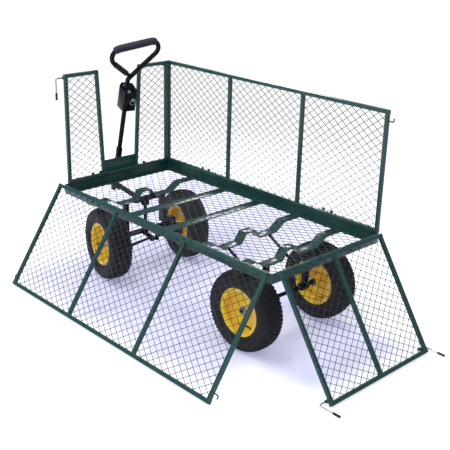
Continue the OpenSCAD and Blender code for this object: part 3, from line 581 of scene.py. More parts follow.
@dataclass(frozen=True)
class Finish:
    """A covering with its colours and its fine surface.

    Attributes:
        name: the material's name.
        slot: the record's material slot; not used.
        colour: the main colour, linear.
        second: the colour it drifts to.
        worn: the colour of rubbed edges, lighter than the coat on most finishes so that it also paints an
            edge highlight.
        grain: the kind of fine surface.
        roughness: how dull it is.
        metallic: how metallic it is.
        coat: the weight of a clear coat.
        drift: how much the colour drifts.
        wear: how strongly the rubbed edges and their painted highlight show.
        dust: how much dust lies on it.
        bump: the depth of the fine surface in metres.
        edges: how its rubbed edges are found.
        specular: the level of its mirror reflection.
    """

    name: str
    slot: str
    colour: tuple[float, float, float]
    second: tuple[float, float, float]
    worn: tuple[float, float, float]
    grain: Grain
    roughness: float
    metallic: float = 0.0
    coat: float = 0.0
    drift: float = 0.5
    wear: float = 0.4
    dust: float = 0.15
    bump: float = 0.0002
    edges: Edges = Edges.ROUNDED
    specular: float = 0.5


# The green's worn colour is a lighter green that paints highlights along the edges as well as rubbed paint.
GREEN = Finish("frame_green_coat", "frame_paint", (0.0060, 0.057, 0.050), (0.0095, 0.078, 0.068),
               (0.10, 0.28, 0.26), Grain.COAT, 0.27, coat=0.5, drift=0.6, wear=0.7, dust=0.03, bump=0.00010)
BLACK = Finish("gloss_black_coat", "black_paint", (0.0030, 0.0028, 0.0068), (0.0060, 0.0056, 0.0108),
               (0.09, 0.09, 0.115), Grain.COAT, 0.20, coat=0.20, drift=0.5, wear=0.35, dust=0.012,
               bump=0.00006, specular=0.16)
YELLOW = Finish("rim_yellow_enamel", "rim_paint", (0.97, 0.645, 0.028), (0.90, 0.55, 0.016),
                (0.60, 0.42, 0.14), Grain.COAT, 0.26, coat=0.5, drift=0.6, wear=0.5, dust=0.03, bump=0.00010)
WIRE = Finish("mesh_wire_coat", "mesh_wire", (0.010, 0.021, 0.030), (0.020, 0.036, 0.046),
              (0.12, 0.16, 0.17), Grain.COAT, 0.40, coat=0.2, drift=0.6, wear=0.0, dust=0.04, bump=0.00006,
              edges=Edges.NONE)
ZINC = Finish("zinc_plate", "zinc_steel", (0.62, 0.62, 0.64), (0.45, 0.45, 0.47),
              (0.75, 0.75, 0.76), Grain.PLATED, 0.26, metallic=0.94, drift=0.5, wear=0.0, dust=0.04,
              bump=0.00005,
              edges=Edges.NONE)
TYRE = Finish("tyre_rubber", "tyre_rubber", (0.0052, 0.0052, 0.0090), (0.011, 0.0108, 0.0160),
              (0.050, 0.050, 0.056), Grain.RUBBER, 0.55, drift=0.6, wear=0.55, dust=0.045, bump=0.00022,
              edges=Edges.POINTED)
FOAM = Finish("grip_foam", "foam_grip", (0.022, 0.018, 0.036), (0.034, 0.029, 0.052),
              (0.085, 0.080, 0.105), Grain.FOAM, 0.74, drift=0.5, wear=0.0, dust=0.05, bump=0.0006,
              edges=Edges.NONE)
VINYL = Finish("dipped_vinyl", "sleeve_plastic", (0.008, 0.007, 0.010), (0.016, 0.014, 0.018),
               (0.06, 0.06, 0.065), Grain.RUBBER, 0.42, drift=0.4, wear=0.0, dust=0.04, bump=0.00012,
               edges=Edges.NONE)


class Palette:
    """Keeps the shared effects and one material for each finish."""

    def __init__(self) -> None:
        """Starts with no effects and no materials."""
        self.groups: dict[str, bpy.types.NodeTree] = {}
        self.materials: dict[str, bpy.types.Material] = {}

    def group(self, name: str, make: Callable[[], bpy.types.NodeTree]) -> bpy.types.NodeTree:
        """The shared effect of that name, made at its first use."""
        if name not in self.groups:
            self.groups[name] = make()
        return self.groups[name]

    def material(self, finish: Finish) -> bpy.types.Material:
        """The material of a finish, made at its first use."""
        if finish.name not in self.materials:
            self.materials[finish.name] = self.make(finish)
        return self.materials[finish.name]

    def make(self, finish: Finish) -> bpy.types.Material:
        """Builds the material of a finish.

        Args:
            finish: the finish.

        Returns:
            The material.
        """
        made = bpy.data.materials.new(finish.name)
        made.use_nodes = True
        tree = made.node_tree
        link = tree.links.new
        shader = tree.nodes["Principled BSDF"]
        shader.inputs["Metallic"].default_value = finish.metallic
        shader.inputs["Coat Weight"].default_value = finish.coat
        shader.inputs["Specular IOR Level"].default_value = finish.specular
        shader.inputs["Coat Roughness"].default_value = 0.16
        place = tree.nodes.new("ShaderNodeTexCoord")
        look = tree.nodes.new("ShaderNodeNewGeometry")
        vector = place.outputs["Object"]

        drift = tree.nodes.new("ShaderNodeGroup")
        drift.node_tree = self.group("drift", drift_group)
        drift.inputs["Colour"].default_value = (*finish.colour, 1.0)
        drift.inputs["Second Colour"].default_value = (*finish.second, 1.0)
        drift.inputs["Scale"].default_value = 14.0
        drift.inputs["Amount"].default_value = finish.drift
        link(vector, drift.inputs["Vector"])

        # Rubbed edges in a lighter colour, which also paint the edge highlights.
        wear = tree.nodes.new("ShaderNodeGroup")
        wear.node_tree = self.group("wear", wear_group)
        wear.inputs["Worn Colour"].default_value = (*finish.worn, 1.0)
        wear.inputs["Amount"].default_value = finish.wear
        wear.inputs["Scale"].default_value = 90.0
        link(vector, wear.inputs["Vector"])
        self.feed_edges(tree, look, finish.edges, wear.inputs["Convexity"])
        link(drift.outputs["Colour"], wear.inputs["Colour"])

        dust = tree.nodes.new("ShaderNodeGroup")
        dust.node_tree = self.group("dust", dust_group)
        dust.inputs["Amount"].default_value = finish.dust
        dust.inputs["Scale"].default_value = 55.0
        dust.inputs["Dust Colour"].default_value = (0.30, 0.29, 0.28, 1.0)
        link(vector, dust.inputs["Vector"])
        link(look.outputs["Normal"], dust.inputs["Normal"])
        link(wear.outputs["Colour"], dust.inputs["Colour"])
        link(dust.outputs["Colour"], shader.inputs["Base Color"])

        rough = tree.nodes.new("ShaderNodeMapRange")
        rough.inputs["To Min"].default_value = finish.roughness
        rough.inputs["To Max"].default_value = min(1.0, finish.roughness + 0.16)
        link(drift.outputs["Mask"], rough.inputs["Value"])
        link(rough.outputs["Result"], shader.inputs["Roughness"])

        bump = tree.nodes.new("ShaderNodeBump")
        bump.inputs["Strength"].default_value = 0.6
        bump.inputs["Distance"].default_value = finish.bump
        link(self.height(tree, vector, finish.grain), bump.inputs["Height"])
        link(bump.outputs["Normal"], shader.inputs["Normal"])
        return made

    def feed_edges(self, tree: bpy.types.NodeTree, look: bpy.types.Node, edges: Edges,
                   target: bpy.types.NodeSocket) -> None:
        """Feeds a measure of how near an edge the surface is.

        Args:
            tree: the material's node tree.
            look: the geometry node.
            edges: how the edges are found.
            target: the socket that takes the measure, from 0 on a flat to 1 on an edge.
        """
        target.default_value = 0.0
        if edges is Edges.NONE:
            return
        span = tree.nodes.new("ShaderNodeMapRange")
        if edges is Edges.POINTED:
            span.inputs["From Min"].default_value = 0.53
            span.inputs["From Max"].default_value = 0.64
            tree.links.new(look.outputs["Pointiness"], span.inputs["Value"])
        else:
            rounded = tree.nodes.new("ShaderNodeBevel")
            rounded.samples = 6
            rounded.inputs["Radius"].default_value = 0.8 * MM
            same = tree.nodes.new("ShaderNodeVectorMath")
            same.operation = "DOT_PRODUCT"
            tree.links.new(rounded.outputs["Normal"], same.inputs[0])
            tree.links.new(look.outputs["True Normal"], same.inputs[1])
            size = tree.nodes.new("ShaderNodeMath")
            size.operation = "ABSOLUTE"
            tree.links.new(same.outputs["Value"], size.inputs[0])
            span.inputs["From Min"].default_value = 0.97
            span.inputs["From Max"].default_value = 0.80
            tree.links.new(size.outputs[0], span.inputs["Value"])
        tree.links.new(span.outputs["Result"], target)

    def height(self, tree: bpy.types.NodeTree, vector: bpy.types.NodeSocket,
               grain: Grain) -> bpy.types.NodeSocket:
        """The height of a finish's fine surface.

        Args:
            tree: the material's node tree.
            vector: where the surface is.
            grain: the kind of fine surface.

        Returns:
            The socket that gives the height.
        """
        sizes = {Grain.COAT: (420.0, 1500.0, 0.25), Grain.RUBBER: (260.0, 1400.0, 0.45),
                 Grain.FOAM: (480.0, 1700.0, 0.4), Grain.PLATED: (90.0, 1900.0, 0.6)}[grain]
        group = tree.nodes.new("ShaderNodeGroup")
        group.node_tree = self.group("grain", grain_group)
        for name, value in zip(("Scale", "Fine Scale", "Fine Share"), sizes):
            group.inputs[name].default_value = value
        tree.links.new(vector, group.inputs["Vector"])
        if grain is not Grain.FOAM:
            return group.outputs["Height"]
        cells = tree.nodes.new("ShaderNodeTexVoronoi")
        cells.inputs["Scale"].default_value = 620.0
        tree.links.new(vector, cells.inputs["Vector"])
        both = tree.nodes.new("ShaderNodeMath")
        both.operation = "ADD"
        tree.links.new(cells.outputs["Distance"], both.inputs[0])
        tree.links.new(group.outputs["Height"], both.inputs[1])
        return both.outputs[0]


PALETTE = Palette()


def material_for(finish: Finish) -> bpy.types.Material:
    """The material of a finish from the shared palette."""
    return PALETTE.material(finish)


# --------------------------------------------------------------------------
# Places
# --------------------------------------------------------------------------

def joint(name: str) -> dict:
    """The joint of that name from the frame."""
    return next(j for j in frame["joints"] if j["name"] == name)


class Side(Enum):
    """A side of the load bed, with its turn about the upright axis in degrees."""

    LEFT = 180.0
    RIGHT = 0.0
    FRONT = 90.0
    REAR = -90.0

    @property
    def label(self) -> str:
        """The side's name in lower case."""
        return self.name.lower()

    def place(self) -> Matrix:
        """The gate's own frame at rest: X along the hinge, Y outward, Z up."""
        hinge = joint(f"{self.label}_gate_hinge")
        opened = hinge["range_deg"][1] if self in (Side.LEFT, Side.REAR) else 0.0
        return (Matrix.Translation(hinge["pos_m"]) @ Matrix.Rotation(math.radians(self.value), 4, "Z")
                @ Matrix.Rotation(-math.radians(opened), 4, "X"))


# --------------------------------------------------------------------------
# Wire mesh
# --------------------------------------------------------------------------

@dataclass
class WireMesh:
    """Welded diamond mesh of two crossed layers of round wire.

    Attributes:
        pitch: the distance between parallel wires.
        angle: the wires' angle to the field's first axis, in degrees.
        turn: a turn of the whole mesh in its field, in degrees.
        wire: the spacing of the two layers, about a wire's thickness.
        radius: a wire's radius.
        margin: how far a wire stays from a corner of its field.
    """

    pitch: float = 24.5 * MM
    angle: float = 37.5
    turn: float = 0.0
    wire: float = 2.0 * MM
    radius: float = 1.05 * MM
    margin: float = 7.0 * MM

    def clip(self, field_: Sequence[Pair], point: Pair,
             way: Pair) -> tuple[Pair, Pair] | None:
        """The part of a line inside a convex field.

        Args:
            field_: the field's corners, anticlockwise.
            point: a point of the line.
            way: the line's direction.

        Returns:
            The two ends, or nothing if the line misses the field.
        """
        low, high = -1e9, 1e9
        for i, a in enumerate(field_):
            b = field_[(i + 1) % len(field_)]
            nx, ny = b[1] - a[1], a[0] - b[0]
            rate = nx * way[0] + ny * way[1]
            gap = nx * (a[0] - point[0]) + ny * (a[1] - point[1])
            if abs(rate) < 1e-12:
                continue
            t = gap / rate
            if rate > 0:
                high = min(high, t)
            else:
                low = max(low, t)
        if high - low < 4 * MM:
            return None
        return tuple((point[0] + way[0] * t, point[1] + way[1] * t) for t in (low, high))

    def fill(self, shape: Shape, field_: Sequence[Pair],
             lift: Callable[[float, float, float], Vector]) -> None:
        """Fills a field with wires and with the small welds at their ends.

        Args:
            shape: the shape they are added to.
            field_: the field's corners, anticlockwise.
            lift: puts a field point at a height above the field's plane into the cart.
        """
        cx = sum(p[0] for p in field_) / len(field_)
        cy = sum(p[1] for p in field_) / len(field_)
        for layer, slope in enumerate((1, -1)):
            lean = math.radians(self.turn + slope * self.angle)
            along, across = (math.cos(lean), math.sin(lean)), (-math.sin(lean), math.cos(lean))
            reach = [(p[0] - cx) * across[0] + (p[1] - cy) * across[1] for p in field_]
            first = math.ceil((min(reach) + self.margin) / self.pitch)
            last = math.floor((max(reach) - self.margin) / self.pitch)
            height = (layer - 0.5) * (self.wire - 0.15 * MM)
            for i in range(first, last + 1):
                off = i * self.pitch
                ends = self.clip(field_, (cx + across[0] * off, cy + across[1] * off), along)
                if ends is None:
                    continue
                a, b = (lift(x, y, height) for x, y in ends)
                shape.tube([a, b], self.radius, sides=8)
                for end in (a, b):
                    shape.bead(end, self.radius * 1.7, sides=7)


# --------------------------------------------------------------------------
# Gates
# --------------------------------------------------------------------------

@dataclass
class Gate:
    """A drop-down gate of square tube filled with wire mesh.

    Attributes:
        side: the side of the bed it closes.
        half: half its length.
        posts: the places of its upright tubes.
        tube: the side of the square tube.
        low: its lower edge above the hinge's axis.
        height: its height.
        out: how far its outer face lies inside the hinge's axis.
        corner: the tube's corner radius.
        hinges: the places of its hinges.
        hinge_length: a hinge's length over its knuckles.
        wires: its mesh.
    """

    side: Side
    half: float
    posts: tuple[float, ...]
    tube: float = 14.5 * MM
    low: float = 0.5 * MM
    height: float = 466 * MM
    out: float = -6 * MM
    corner: float = 2.2 * MM
    hinges: tuple[float, ...] = (-355 * MM, 355 * MM)
    hinge_length: float = 54 * MM
    wires: WireMesh = field(default_factory=WireMesh)

    @property
    def mid(self) -> float:
        """Where the tubes' middle plane lies."""
        return self.out - self.tube / 2

    @property
    def top(self) -> float:
        """Where the gate's upper edge lies."""
        return self.low + self.height

    def rail(self, shape: Shape, first: float, last: float, middle: float) -> None:
        """A level tube between two places.

        Args:
            shape: the shape it is added to.
            first: the place of its first end.
            last: the place of its last end.
            middle: the height of its middle.
        """
        shape.bar(Vector((first, self.mid, middle)), Vector((last, self.mid, middle)), Vector((0, 1, 0)),
                  self.tube, self.tube, self.corner, self.side.place())

    def post(self, shape: Shape, foot: float, head: float) -> None:
        """An upright or leaning tube between the rails, with a weld at each end.

        Args:
            shape: the shape it is added to.
            foot: its place at the lower rail.
            head: its place at the upper rail.
        """
        place = self.side.place()
        low, high = self.low + self.tube, self.top - self.tube
        section = rounded_section(self.tube, self.tube, self.corner)
        rings = []
        for x, z in ((foot, low - 0.5 * MM), (head, high + 0.5 * MM)):
            rings.append([place @ Vector((x + u, self.mid + v, z)) for u, v in section])
        shape.loft(rings)
        bead = rounded_section(self.tube + 0.6 * MM, self.tube - 1.4 * MM, self.corner, 6)
        for x, z in ((foot, low), (head, high)):
            shape.weld([place @ Vector((x + u, self.mid + v, z)) for u, v in bead], 1.5 * MM)

    def leaf(self, shape: Shape, middle: float) -> None:
        """The gate's half of a hinge: two leaves with knuckles.

        Args:
            shape: the shape it is added to.
            middle: the hinge's place.
        """
        place = self.side.place()
        side = self.hinge_length / 4 - 0.5 * MM
        plate, across, up = 2.5 * MM, self.out + 1.25 * MM, 11.5 * MM
        rivet = millimetres((0.2, 0.0), (2.6, 0.0), (2.2, 0.8), (0.8, 1.3), (0.2, 1.4))
        for s in (-1, 1):
            x = middle + s * (self.hinge_length / 2 - side / 2)
            shape.bar(Vector((x - side / 2, across, up)), Vector((x + side / 2, across, up)),
                      Vector((0, 1, 0)), plate, 22 * MM, 0.6 * MM, place)
            knuckle(shape, place, x, side)
            for z in (9 * MM, 17 * MM):
                at = place @ Matrix.Translation((x, self.out + 2.4 * MM, z))
                shape.lathe(rivet, at, 14, closed=False)

    def weave(self, shape: Shape, corners: Sequence[Pair]) -> None:
        """Fills a field between tubes with mesh.

        Args:
            shape: the shape the wires are added to.
            corners: the field's corners as place and height, anticlockwise.
        """
        place = self.side.place()
        self.wires.fill(shape, corners, lambda x, z, h: place @ Vector((x, self.mid - h, z)))

    def frame_shape(self) -> Shape:
        """The gate's tubes, welds and hinge leaves."""
        shape = Shape()
        self.rail(shape, -self.half, self.half, self.low + self.tube / 2)
        self.rail(shape, -self.half, self.half, self.top - self.tube / 2)
        for x in self.posts:
            self.post(shape, x, x)
        for x in self.hinges:
            self.leaf(shape, x)
        return shape

    def mesh_shape(self) -> Shape:
        """The gate's wires."""
        shape = Shape()
        low, high = self.low + self.tube, self.top - self.tube
        for a, b in zip(self.posts, self.posts[1:]):
            x0, x1 = a + self.tube / 2, b - self.tube / 2
            self.weave(shape, [(x0, low), (x1, low), (x1, high), (x0, high)])
        return shape

    def build(self) -> None:
        """Builds the gate's frame and its mesh."""
        body = f"{self.side.label}_gate"
        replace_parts(self.frame_shape().build(f"{body}_tubes", GREEN, body), f"{body}_frame")
        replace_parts(self.mesh_shape().build(f"{body}_wires", WIRE, body, angle=60.0), f"{body}_mesh")


def knuckle(shape: Shape, place: Matrix, middle: float, length: float, radius: float = 5 * MM,
            bore: float = 2.6 * MM) -> None:
    """A rolled hinge knuckle along X.

    Args:
        shape: the shape it is added to.
        place: the gate's frame.
        middle: the knuckle's middle along the hinge.
        length: its length.
        radius: its outer radius.
        bore: its inner radius.
    """
    half = length / 2
    ease = 0.5 * MM
    turn = Matrix.Translation((middle, 0, 0)) @ Matrix.Rotation(math.radians(-90), 4, "Z")
    shape.lathe([(bore, -half), (radius - ease, -half), (radius, -half + ease), (radius, half - ease),
                 (radius - ease, half), (bore, half)], place @ turn, 28)


@dataclass
class LongGate(Gate):
    """A gate along the cart, with a catch hook at each end.

    Attributes:
        reach: how far the hooks stand out at the low and at the high end.
    """

    reach: Pair = (8.5 * MM, 22 * MM)

    def frame_shape(self) -> Shape:
        """The gate's tubes, welds, hinge leaves and catch hooks."""
        shape = super().frame_shape()
        place = self.side.place()
        z, tip, weld = self.top - 40 * MM, 13 * MM, 3.2 * MM
        for sign, out in zip((-1, 1), self.reach):
            root, bend = sign * (self.half - 4 * MM), sign * (self.half + out)
            points = [Vector((x, self.mid, up)) for x, up in ((root, z), (bend, z), (bend, z + tip))]
            path = [place @ p for p in rounded_path(points, [5 * MM], 8)]
            shape.tube(path, 2.5 * MM, 14)
            ring = [place @ Vector((sign * self.half, self.mid + weld * math.cos(a), z + weld * math.sin(a)))
                    for a in (2 * math.pi * k / 14 for k in range(14))]
            shape.weld(ring, 1.0 * MM)
        return shape


@dataclass
class EndGate(Gate):
    """A gate across the cart, with a lug for a latch at each upper corner.

    Attributes:
        lug: the place of the latch lugs.
        pivot: the latches' pivot above the hinge's axis.
        pivot_out: the pivot's distance outside the hinge's axis.
    """

    lug: float = 263.5 * MM
    pivot: float = 448.5 * MM
    pivot_out: float = 10 * MM

    def frame_shape(self) -> Shape:
        """The gate's tubes, welds, hinge leaves and latch lugs."""
        shape = super().frame_shape()
        for sign in (-1, 1):
            self.add_lug(shape, sign)
        return shape

    def add_lug(self, shape: Shape, sign: int) -> None:
        """A drilled lug that carries a latch.

        Args:
            shape: the shape it is added to.
            sign: the end of the gate it stands at.
        """
        place = self.side.place()
        wall, radius, bore = 4 * MM, 6 * MM, 2.6 * MM
        outline: list[Pair] = [(self.out, -radius)]
        for k in range(13):
            a = math.radians(-90 + 180 * k / 12)
            outline.append((self.pivot_out + radius * math.cos(a), radius * math.sin(a)))
        outline.append((self.out, radius))
        hole = [(self.pivot_out + bore * math.cos(a), bore * math.sin(a))
                for a in (math.radians(-90 + 360 * k / 28) for k in range(28))]
        outer = resample(outline, 28)
        rings = []
        for x, loop in ((-wall / 2, hole), (-wall / 2, outer), (wall / 2, outer), (wall / 2, hole)):
            rings.append([place @ Vector((sign * self.lug + x, y, self.pivot + z)) for y, z in loop])
        shape.loft(rings, closed=True)


def resample(loop: Sequence[Pair], count: int) -> list[Pair]:
    """Spreads points evenly along a closed loop.

    Args:
        loop: the loop's corners.
        count: how many points it gets.

    Returns:
        The points, from the loop's first corner on.
    """
    points = [Vector((*p, 0)) for p in loop]
    spans = [(points[(i + 1) % len(points)] - p).length for i, p in enumerate(points)]
    total = sum(spans)
    made = []
    for k in range(count):
        want = total * k / count
        i = 0
        while want > spans[i]:
            want -= spans[i]
            i += 1
        p = points[i].lerp(points[(i + 1) % len(points)], want / spans[i])
        made.append((p.x, p.y))
    return made


@dataclass
class NotchedGate(EndGate):
    """The front gate: two wings beside a notch for the handle, and a crossplate below it.

    Attributes:
        notch_foot: half the distance between the notch tubes at their feet.
        notch_head: half the distance between them at the top.
        plate: the crossplate's height.
    """

    notch_foot: float = 89 * MM
    notch_head: float = 114 * MM
    plate: float = 52 * MM

    def frame_shape(self) -> Shape:
        """The two wings, the crossplate, the hinge leaves and the latch lugs."""
        shape = Shape()
        place = self.side.place()
        low = self.low + self.tube
        edge = self.half - self.tube / 2
        self.rail(shape, -self.half, self.half, self.low + self.tube / 2)
        for sign in (-1, 1):
            self.post(shape, sign * edge, sign * edge)
            section = rounded_section(self.tube, self.tube, self.corner)
            ends = ((sign * self.notch_foot, low - 0.5 * MM), (sign * self.notch_head, self.top))
            shape.loft([[place @ Vector((x + u, self.mid + v, z)) for u, v in section] for x, z in ends])
            first, last = sorted((sign * self.notch_head, sign * self.half))
            self.rail(shape, first, last, self.top - self.tube / 2)
            bead = rounded_section(self.tube + 0.6 * MM, self.tube - 1.4 * MM, self.corner, 6)
            foot = sign * self.notch_foot
            shape.weld([place @ Vector((foot + u, self.mid + v, low)) for u, v in bead], 1.5 * MM)
            self.add_lug(shape, sign)
        for x in self.hinges:
            self.leaf(shape, x)
        half, middle = self.notch_foot, low + self.plate / 2
        wall, roll = 3 * MM, 2.2 * MM
        shape.bar(Vector((-half, self.out - wall / 2, middle)), Vector((half, self.out - wall / 2, middle)),
                  Vector((0, 1, 0)), wall, self.plate, 1.2 * MM, place)
        shape.tube([place @ Vector((x, self.out - 2.0 * MM, low + self.plate - roll)) for x in (-half, half)],
                   roll, 12)
        return shape

    def mesh_shape(self) -> Shape:
        """The wires of the two wings."""
        shape = Shape()
        low, high = self.low + self.tube, self.top - self.tube
        lean = (self.notch_head - self.notch_foot) / (self.top - low)
        foot = self.notch_foot + self.tube / 2
        head = foot + lean * (high - low)
        edge = self.half - self.tube
        self.weave(shape, [(foot, low), (edge, low), (edge, high), (head, high)])
        self.weave(shape, [(-edge, low), (-foot, low), (-head, high), (-edge, high)])
        return shape


# --------------------------------------------------------------------------
# Load bed
# --------------------------------------------------------------------------

@dataclass
class LoadBed:
    """The tray frame with its mesh floor, cross straps and hinge halves.

    Attributes:
        length: over the rails.
        width: over the rails.
        top: the rails' upper edge above the ground.
        rail: the rails' height.
        wall: the rails' thickness.
        ledge: the width of the ledge inside.
        corner: the outer corner radius.
    """

    length: float = 1220 * MM
    width: float = 580 * MM
    top: float = 388 * MM
    rail: float = 40 * MM
    wall: float = 3 * MM
    ledge: float = 25 * MM
    corner: float = 7 * MM

    def ring(self, inset: float, height: float) -> list[Vector]:
        """A rounded rectangle inside the rails' outer face.

        Args:
            inset: how far inside it lies.
            height: its height above the ground.

        Returns:
            Its points.
        """
        corner = max(0.6 * MM, self.corner - inset)
        section = rounded_section(self.length - 2 * inset, self.width - 2 * inset, corner, 6)
        return [Vector((x, y, height)) for x, y in section]

    def rails(self) -> Shape:
        """The angle rails, with eased edges."""
        low, high, ease = self.top - self.rail, self.top, 1.0 * MM
        inner = low + self.wall
        profile = [(0.0, low + 3 * MM), (0.9 * MM, low + 0.9 * MM), (3 * MM, low), (self.ledge - ease, low),
                   (self.ledge, low + ease), (self.ledge, inner - ease), (self.ledge - ease, inner),
                   (self.wall + 2 * MM, inner), (self.wall + 0.5 * MM, inner + 0.6 * MM),
                   (self.wall, inner + 2 * MM), (self.wall, high - ease), (self.wall - ease, high),
                   (ease, high), (0.0, high - ease)]
        shape = Shape()
        shape.loft([self.ring(i, z) for i, z in profile], closed=True)
        return shape

    def build(self) -> None:
        """Builds the bed's pieces."""
        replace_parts(self.rails().build("tray_rails", GREEN, "chassis", 30.0), "tray_frame")
        half_x, half_y = self.length / 2 - self.wall - 3 * MM, self.width / 2 - self.wall - 3 * MM
        field_ = [(x * half_x, y * half_y) for x, y in ((-1, -1), (1, -1), (1, 1), (-1, 1))]
        wires = Shape()
        middle = self.top - self.rail + self.wall + 2.0 * MM
        WireMesh(28 * MM, 34.0).fill(wires, field_, lambda x, y, h: Vector((x, y, middle + h)))
        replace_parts(wires.build("floor_wires", WIRE, "chassis", 60.0), "floor_mesh")
        for node in ("front_strap", "strut_strap", "rear_strap", "middle_straps"):
            eased_copy(node, f"{node}_pressed", GREEN, "chassis", 1.0 * MM)
        eased_copy("tray_hinges", "tray_hinge_leaves", GREEN, "chassis", 0.4 * MM)


# --------------------------------------------------------------------------
# Wheels
# --------------------------------------------------------------------------

@dataclass
class Wheel:
    """A pneumatic tyre with a block tread on a pressed steel rim.

    Attributes:
        name: the wheel's place, such as front_left.
        side: -1 on the left and 1 on the right.
        radius: at the tread's crown.
        half: half the tyre's width.
        rim: the rim flange's radius.
        depth: the tread's depth.
        pitches: blocks round the tyre.
        turn: a turn of the wheel about its axle in degrees.
    """

    name: str
    side: int
    radius: float = 155 * MM
    half: float = 48 * MM
    rim: float = 92 * MM
    depth: float = 3.2 * MM
    pitches: int = 58
    turn: float = 0.0

    def place(self) -> Matrix:
        """The wheel's frame: origin at its centre, Y outward from the cart."""
        spin = joint(f"{self.name}_wheel_spin")
        axis = Vector(spin["axis"]).normalized() * self.side
        up = Vector((0, 0, 1))
        along = axis.cross(up)
        turn = Matrix((along, axis, up)).transposed().to_4x4()
        return Matrix.Translation(spin["pos_m"]) @ turn @ Matrix.Rotation(math.radians(self.turn), 4, "Y")

    def crown(self, y: float) -> float:
        """The tread surface's radius at a place across the tyre."""
        share = abs(y) / self.half
        round_off = 12.4 * MM * max(0.0, share - 0.22) ** 2.0 * 1.62
        shoulder = 9 * MM * max(0.0, share - 0.78) ** 1.4
        return self.radius - 0.6 * MM - round_off - shoulder

    def tyre(self) -> Shape:
        """The carcass with its sidewall rings, and the tread blocks."""
        w, r, seat, bead = self.half, self.radius, self.rim - 12 * MM, self.half - 9 * MM
        outer = [(seat, bead - 7 * MM)]
        outer += [(self.rim + a, bead + b)
                  for a, b in millimetres((0, -2), (1.6, 0.6), (4, 2.4), (6.5, 2.6), (8, 4.0))]
        outer.append((self.rim + 13 * MM, w - 2.6 * MM))
        outer += [(r - a, w - b)
                  for a, b in millimetres((45, 1.2), (43.5, 0.1), (40, 0.1), (38.5, 1.0), (30, 0.9),
                                          (26, 1.6), (25, 0.7), (22, 1.4), (21, 2.9))]
        for k in range(7):
            y = (w - 5 * MM) * (1 - k / 6.0)
            outer.append((self.crown(y) - self.depth, y))
        outer = outer + [(a, -b) for a, b in reversed(outer[:-1])]
        inner = [(seat, -bead + 16 * MM), (self.rim + 6 * MM, -w + 13 * MM), (r - 34 * MM, -w + 9 * MM),
                 (r - 15 * MM, -w + 18 * MM), (r - 11 * MM, 0.0), (r - 15 * MM, w - 18 * MM),
                 (r - 34 * MM, w - 9 * MM), (self.rim + 6 * MM, w - 13 * MM), (seat, bead - 16 * MM)]
        shape = Shape()
        shape.lathe(outer + inner, self.place(), 144)
        rows = [(0.0, 5.6 * MM, 0.0, 0.66)]
        for side in (-1, 1):
            rows += [(side * 12.4 * MM, 4.6 * MM, 0.5, 0.62), (side * 23.0 * MM, 4.4 * MM, 0.0, 0.60),
                     (side * 33.2 * MM, 4.2 * MM, 0.5, 0.58), (side * 41.6 * MM, 2.9 * MM, 0.0, 0.50)]
        for middle, half, phase, share in rows:
            for k in range(self.pitches):
                self.block(shape, (k + phase) / self.pitches, share / self.pitches, middle, half)
        return shape

    def block(self, shape: Shape, start: float, span: float, middle: float, half: float) -> None:
        """One tread block with drafted sides.

        Args:
            shape: the shape it is added to.
            start: where it starts, as a share of the way round.
            span: its length, as a share of the way round.
            middle: its middle across the tyre.
            half: half its width.
        """
        place = self.place()
        skew = 0.05 / self.pitches * (1 if middle >= 0 else -1)
        rings = []
        for level, draft in ((-1.0 * MM, -0.5 * MM), (self.depth - 0.6 * MM, 0.0), (self.depth, 0.6 * MM)):
            ring = []
            corners = [(-1, -1), (0, -1), (1, -1), (1, 0), (1, 1), (0, 1), (-1, 1), (-1, 0)]
            for along, across in corners:
                y = middle + across * (half - draft)
                angle = 2 * math.pi * (start + span / 2 + skew * across)
                angle += along * (math.pi * span - draft / self.radius)
                r = self.crown(y) - self.depth + level
                ring.append(place @ Vector((r * math.cos(angle), y, r * math.sin(angle))))
            rings.append(ring)
        shape.loft(rings)

    def rim_shape(self) -> Shape:
        """The rim's barrel with rolled lips, its pressed disc and its hub."""
        seat = self.rim - 12 * MM
        edge = self.half - 9 * MM
        wall = 3 * MM
        lip = [(seat - wall, edge - 6 * MM), (seat - wall + 1.2 * MM, edge - 3.4 * MM)]
        lip += [(self.rim - a, edge + b)
                for a, b in millimetres((6, -1.2), (3.4, 0), (1.4, 0.3), (0, -0.6), (0, -1.8), (1.6, -2.9))]
        lip += [(seat + 2 * MM, edge - 6.2 * MM), (seat, edge - 7.2 * MM)]
        barrel = lip + [(a, -b) for a, b in reversed(lip)]
        shape = Shape()
        place = self.place()
        shape.lathe(barrel, place, 128)
        face = millimetres((19.5, 10.6), (25, 10.4), (29, 9.0), (35, 3.0), (40, -0.2), (45, -1.2), (54, -1.2),
                           (57, -0.4), (60, 0.9), (63, 0.9), (66, -0.4), (70, -1.0), (73.5, 0.4), (76, 4.0),
                           (77.4, 9.0))
        back = [(a, b - 2.8 * MM) for a, b in reversed(face)]
        back[0] = (77.4 * MM, 5.0 * MM)
        shape.lathe(face + back, place, 128)
        hub = millimetres((17.5, -38), (19.2, -38), (20, -37.2), (20, 11.0), (19, 12), (17.5, 12), (17.5, 1),
                          (12, 1), (12, -27), (17.5, -27))
        shape.lathe(hub, place, 64)
        weld, pins = 21.4 * MM, 52 * MM
        ring = [place @ Vector((weld * math.cos(a), 10.4 * MM, weld * math.sin(a)))
                for a in (2 * math.pi * k / 60 for k in range(60))]
        shape.weld(ring, 1.7 * MM)
        rivet = millimetres((0.2, 4.4), (3.0, 4.0), (5.0, 2.4), (5.6, 0.6), (5.6, 0.0), (0.2, 0.0))
        for k in range(4):
            a = math.radians(45 + 90 * k)
            at = place @ Matrix.Translation((pins * math.cos(a), -1.3 * MM, pins * math.sin(a)))
            shape.lathe(rivet, at, 24)
        return shape

